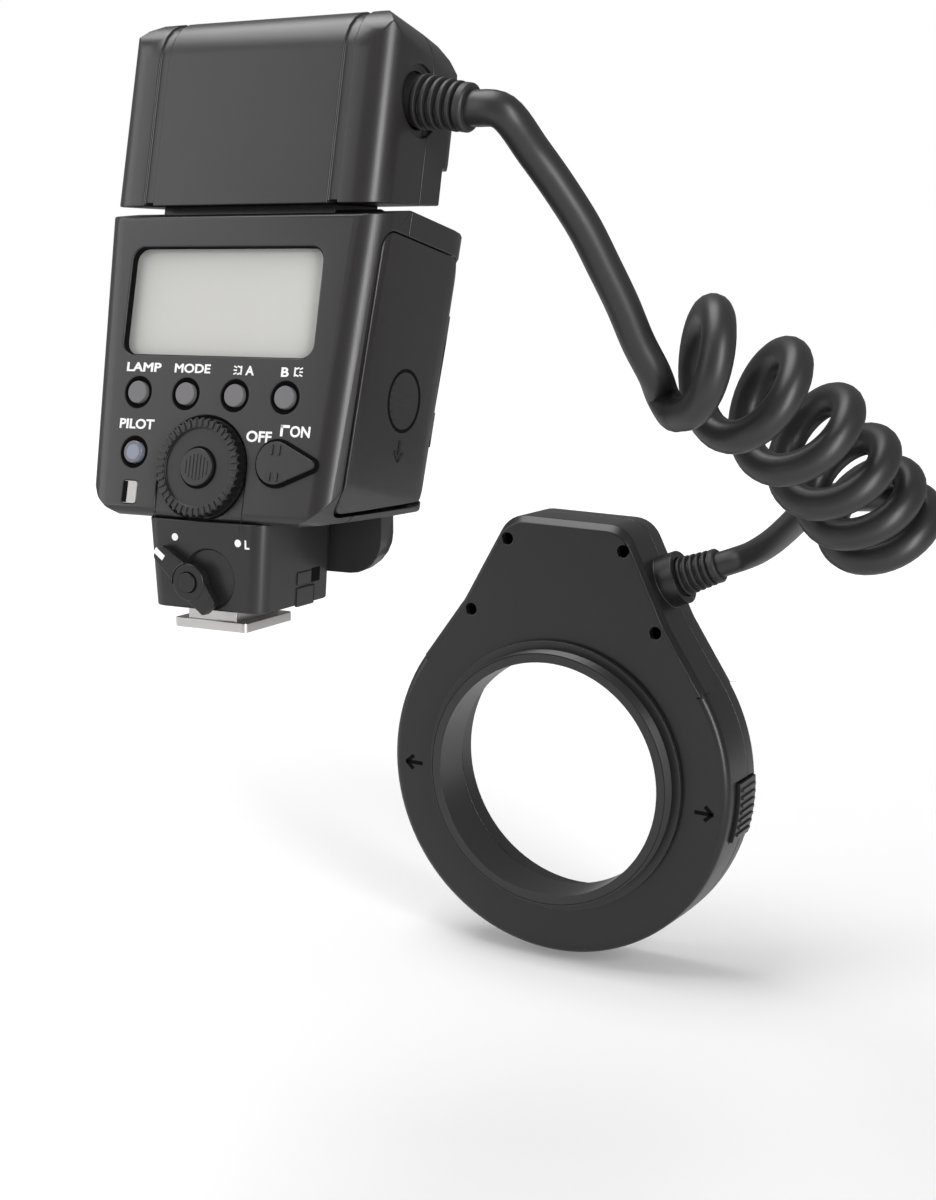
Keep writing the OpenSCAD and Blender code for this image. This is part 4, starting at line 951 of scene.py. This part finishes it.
class RINGFLASH_OT_panel_print(bpy.types.Operator):
    """White letters and marks on the panel and on the shoe block"""

    bl_idname = "ringflash.panel_print"
    bl_label = "Panel print"

    def execute(self, context):
        for name, text, width, height, x, z in (
                ("print_lamp", "LAMP", 9.2, 2.0, -19.5, -14.5),
                ("print_mode", "MODE", 9.3, 2.0, -6.7, -14.5),
                ("print_a", "A", 2.2, 2.0, 8.0, -14.6),
                ("print_b", "B", 1.9, 2.0, 16.8, -14.7),
                ("print_pilot", "PILOT", 9.2, 2.2, -19.7, -26.9),
                ("print_off", "OFF", 6.3, 2.4, 12.1, -28.4),
                ("print_on", "ON", 4.9, 2.4, 22.1, -27.0)):
            letters(name, text, width, height, on_panel(x, z), "rear_shell")
        letters("print_lock", "L", 1.2, 1.9, on_block(11.0, 19.2), "shoe_block")
        thick = settings("detail").print_height * 2 / MM
        self.panel_marks(thick)
        self.block_dots(thick)
        return {"FINISHED"}

    def panel_marks(self, thick):
        """The corner beside ON, and a lamp with rays beside A and B."""
        bm = bmesh.new()
        corner = on_panel(18.4, -26.9)
        slab(bm, (2.2, 0.6, thick), corner, (0, 0.9))
        slab(bm, (0.6, 2.4, thick), corner, (-0.8, 0))
        for x, way in ((5.3, 1), (19.8, -1)):
            lamp = on_panel(x, -14.6)
            slab(bm, (0.35, 1.9, thick), lamp, (0.55 * way, 0))
            for side in (1, -1):
                slab(bm, (1.1, 0.3, thick), lamp, (0.1 * way, 0.7 * side), -0.35 * way * side)
            for ray in (-0.7, 0, 0.7):
                slab(bm, (0.8, 0.28, thick), lamp, (-0.95 * way, ray), -0.6 * ray * way)
        new_piece("print_panel_marks", bm, "print_white", "rear_shell")

    def block_dots(self, thick):
        """The lever's two index dots."""
        bm = bmesh.new()
        for x, z in ((-7.5, 19.7), (8.7, 19.4)):
            disc(bm, 0.8, thick, on_block(x, z))
        new_piece("print_block_dots", bm, "print_white", "shoe_block")


class RINGFLASH_OT_battery_door(bpy.types.Operator):
    """Battery door with its hinge pin"""

    bl_idname = "ringflash.battery_door"
    bl_label = "Battery door"

    def execute(self, context):
        eased("battery_door", "charcoal_shell", settings("detail").shell_edge)
        dress("door_hinge_pin", "foot_steel")
        self.grip(on_door(*GRIP))
        self.arrow(on_door(*DOOR_ARROW))
        return {"FINISHED"}

    def grip(self, place):
        """Painted shade: a black ring round the sunken edge of the thumb grip; and its pad with faint level bars.
        """
        bm = bmesh.new()
        band(bm, 6.85, 6.15, -0.3, 0.06, place)
        built("grip_edge_shade", bm, "shadow_black", "battery_door")
        reach, pitch = 5.6, 1.5
        bm = bmesh.new()
        disc(bm, 6.12, 0.14, raised(place, -0.08))
        for i in range(-3, 4):
            slab(bm, (2 * math.sqrt(reach ** 2 - (pitch * i) ** 2), 0.5, 0.1), place, (0, pitch * i))
        built("grip_pad", bm, "charcoal_shell", "battery_door")

    def arrow(self, place):
        """Low arrow under the grip."""
        bm = bmesh.new()
        slab(bm, (1.0, 3.4, 0.3), place, (0, 0.9))
        for way in (-1, 1):
            slab(bm, (2.8, 0.8, 0.3), place, (0.8 * way, -0.9), way * BARB_TURN)
        built("door_arrow", bm, "jet_shell", "battery_door")


# Turns of the lock lever's short end and of its index, and how much deeper its arm lies than its hub
TAIL_TURN = math.radians(-48)
INDEX_TURN = math.radians(143)
ARM_DEPTH = 0.2 * MM


class RINGFLASH_OT_foot(bpy.types.Operator):
    """Shoe block, lock lever and metal foot"""

    bl_idname = "ringflash.foot"
    bl_label = "Foot"

    def execute(self, context):
        detail = settings("detail")
        eased("shoe_block", "slate_shell", detail.shell_edge)
        eased("lock_lever", "jet_shell", detail.shell_edge)
        eased("lock_button", "jet_shell", detail.fine_edge)
        eased("foot_plate", "foot_steel", detail.fine_edge)
        for node in ("foot_screws", "lock_pin"):
            dress(node, "foot_steel")
        dress("foot_contacts", "contact_gold")
        self.index_mark(detail)
        self.lever_tail(detail)
        self.side_plates(detail)
        return {"FINISHED"}

    def lever_tail(self, detail):
        """The lever's short end, on the other side of its hub."""
        pivot = Vector(JOINTS["lock_lever_turn"]["pos_m"])
        hub = facing_back(Vector((pivot.x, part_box("lock_lever")[0].y, pivot.z)))
        form = ((2.6, -3.0), (7.2, -2.2), (7.7, -1.6), (7.7, 1.6), (7.2, 2.2), (2.6, 3.0))
        bm = bmesh.new()
        prism(bm, form, -2.2, -0.2, hub @ Matrix.Rotation(TAIL_TURN, 4, "Z"))
        built("lock_lever_tail", bm, "jet_shell", "lock_lever", detail.shell_edge)

    def side_plates(self, detail):
        """Two low plates on the right-hand side of the shoe block, and beside them black sheets of painted shade
        where a slot and a narrow gap are.
        """
        bm = bmesh.new()
        for size, y, z in (((5.2, 2.8, 0.7), 5.5, 10.4), ((6.4, 4.2, 0.7), 6.1, 6.3)):
            slab(bm, size, on_block_side(y, z))
        built("block_plates", bm, "slate_shell", "shoe_block", detail.fine_edge)
        bm = bmesh.new()
        slab(bm, (3.5, 3.1, 0.1), on_block_side(10.2, 10.5))
        slab(bm, (0.5, 4.2, 0.1), on_block_side(9.7, 6.3))
        built("block_slot_shade", bm, "shadow_black", "shoe_block")

    def index_mark(self, detail):
        """White bar at the lever's tip, along the lever."""
        bm = bmesh.new()
        arm = facing_back(AHEAD * (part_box("lock_lever")[0].y + ARM_DEPTH))
        slab(bm, (2.8, 1.3, detail.print_height * 2 / MM), arm, (-9.9, 16.2), INDEX_TURN)
        new_piece("print_lever_index", bm, "print_white", "lock_lever")


class RINGFLASH_OT_strain_reliefs(bpy.types.Operator):
    """Ribbed strain reliefs at both ends of the cord"""

    bl_idname = "ringflash.strain_reliefs"
    bl_label = "Strain reliefs"

    def execute(self, context):
        for node in ("head_strain_relief", "ring_strain_relief"):
            eased(node, "relief_rubber", settings("detail").fine_edge)
        return {"FINISHED"}


class RINGFLASH_OT_ring_head(bpy.types.Operator):
    """Shells, release buttons and screws of the ring head"""

    bl_idname = "ringflash.ring_head"
    bl_label = "Ring head"

    def execute(self, context):
        detail = settings("detail")
        eased("ring_rear_shell", "jet_shell", detail.shell_edge)
        eased("ring_front_shell", "slate_shell", detail.shell_edge)
        for node in ("release_slider_a", "release_slider_b"):
            eased(node, "jet_shell", detail.fine_edge)
        # Painted shade: the screws in their holes are coloured black, as the holes are dark with shade.
        dress("ring_screws", "shadow_black")
        eased("adapter_ring", "slate_shell", detail.fine_edge)
        self.thread(detail)
        self.release_marks()
        return {"FINISHED"}

    def thread(self, detail):
        """Ridges of the lens thread, at the adapter's rear end."""
        pitch, count = detail.thread_pitch / MM, round(detail.thread_length / detail.thread_pitch)
        core, sunk, crest = detail.thread_radius / MM, 0.3, 0.35
        profile = [(core - sunk, -count * pitch), (core - sunk, 0)]
        for turn in range(count):
            profile += [(core, -turn * pitch), (core + crest, -(turn + 0.5) * pitch)]
        rear = (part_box("adapter_ring")[0].y - RING.y) / MM
        bm = bmesh.new()
        ringed(bm, profile + [(core, -count * pitch)], on_ring(0, rear, 0), THREAD_SIDES)
        built("adapter_thread", bm, "slate_shell", "adapter_ring")

    def release_marks(self):
        """Low arrows on the rear face that point at the release buttons."""
        bm = bmesh.new()
        for side in (-1, 1):
            place = on_ring(48.6 * side, 0, -3.6)
            slab(bm, (4.8, 1.1, 0.3), place, (-0.9 * side, 0))
            for way in (-1, 1):
                slab(bm, (3.4, 1.1, 0.3), place, (1.1 * side, way), -side * way * BARB_TURN)
        built("release_arrows", bm, "shadow_black", "ring_rear_shell")


class RINGFLASH_OT_lamps(bpy.types.Operator):
    """Flash tubes, reflector and covers"""

    bl_idname = "ringflash.lamps"
    bl_label = "Lamps"

    def execute(self, context):
        for node in ("lamp_cover_a", "lamp_cover_b", "focus_lamps"):
            eased(node, "diffuser", settings("detail").fine_edge)
        for node in ("flash_tube_a", "flash_tube_b"):
            dress(node, "tube_glass")
        dress("ring_reflector", "reflector")
        return {"FINISHED"}


class RINGFLASH_OT_insides(bpy.types.Operator):
    """Boards, cells and other pieces inside"""

    bl_idname = "ringflash.insides"
    bl_label = "Insides"

    def execute(self, context):
        for node in ("main_board", "ring_board"):
            dress(node, "board")
        for number in range(1, 5):
            dress(f"battery_cell_{number}", "cell_sleeve")
        dress("battery_cage", "cage")
        dress("battery_contacts", "foot_steel")
        dress("main_capacitor", "can_sleeve")
        return {"FINISHED"}


class RINGFLASH_PT_pieces(bpy.types.Panel):
    """Lists the pieces of the ring flash"""

    bl_idname = "RINGFLASH_PT_pieces"
    bl_label = "Ring flash"
    bl_space_type = "VIEW_3D"
    bl_region_type = "UI"
    bl_category = "Ring flash"

    def draw(self, context):
        for operator in OPERATORS:
            self.layout.operator(operator.bl_idname)


SETTINGS = {
    "camera": CameraSettings,
    "stage": StageSettings,
    "cord": CordSettings,
    "panel": PanelSettings,
    "finish": FinishSettings,
    "detail": DetailSettings,
}
OPERATORS = (
    RINGFLASH_OT_stage,
    RINGFLASH_OT_cord,
    RINGFLASH_OT_shells,
    RINGFLASH_OT_screen,
    RINGFLASH_OT_buttons,
    RINGFLASH_OT_dial,
    RINGFLASH_OT_power_switch,
    RINGFLASH_OT_panel_print,
    RINGFLASH_OT_battery_door,
    RINGFLASH_OT_foot,
    RINGFLASH_OT_strain_reliefs,
    RINGFLASH_OT_ring_head,
    RINGFLASH_OT_lamps,
    RINGFLASH_OT_insides,
)


def register():
    for cls in (*SETTINGS.values(), *OPERATORS, RINGFLASH_PT_pieces):
        bpy.utils.register_class(cls)
    for name, group in SETTINGS.items():
        setattr(bpy.types.Scene, "ring_flash_" + name, PointerProperty(type=group))


def unregister():
    for name in SETTINGS:
        delattr(bpy.types.Scene, "ring_flash_" + name)
    for cls in (RINGFLASH_PT_pieces, *reversed(OPERATORS), *reversed(SETTINGS.values())):
        bpy.utils.unregister_class(cls)


def main():
    register()
    for operator in OPERATORS:
        group, name = operator.bl_idname.split(".")
        getattr(getattr(bpy.ops, group), name)()


if __name__ == "__main__":
    main()
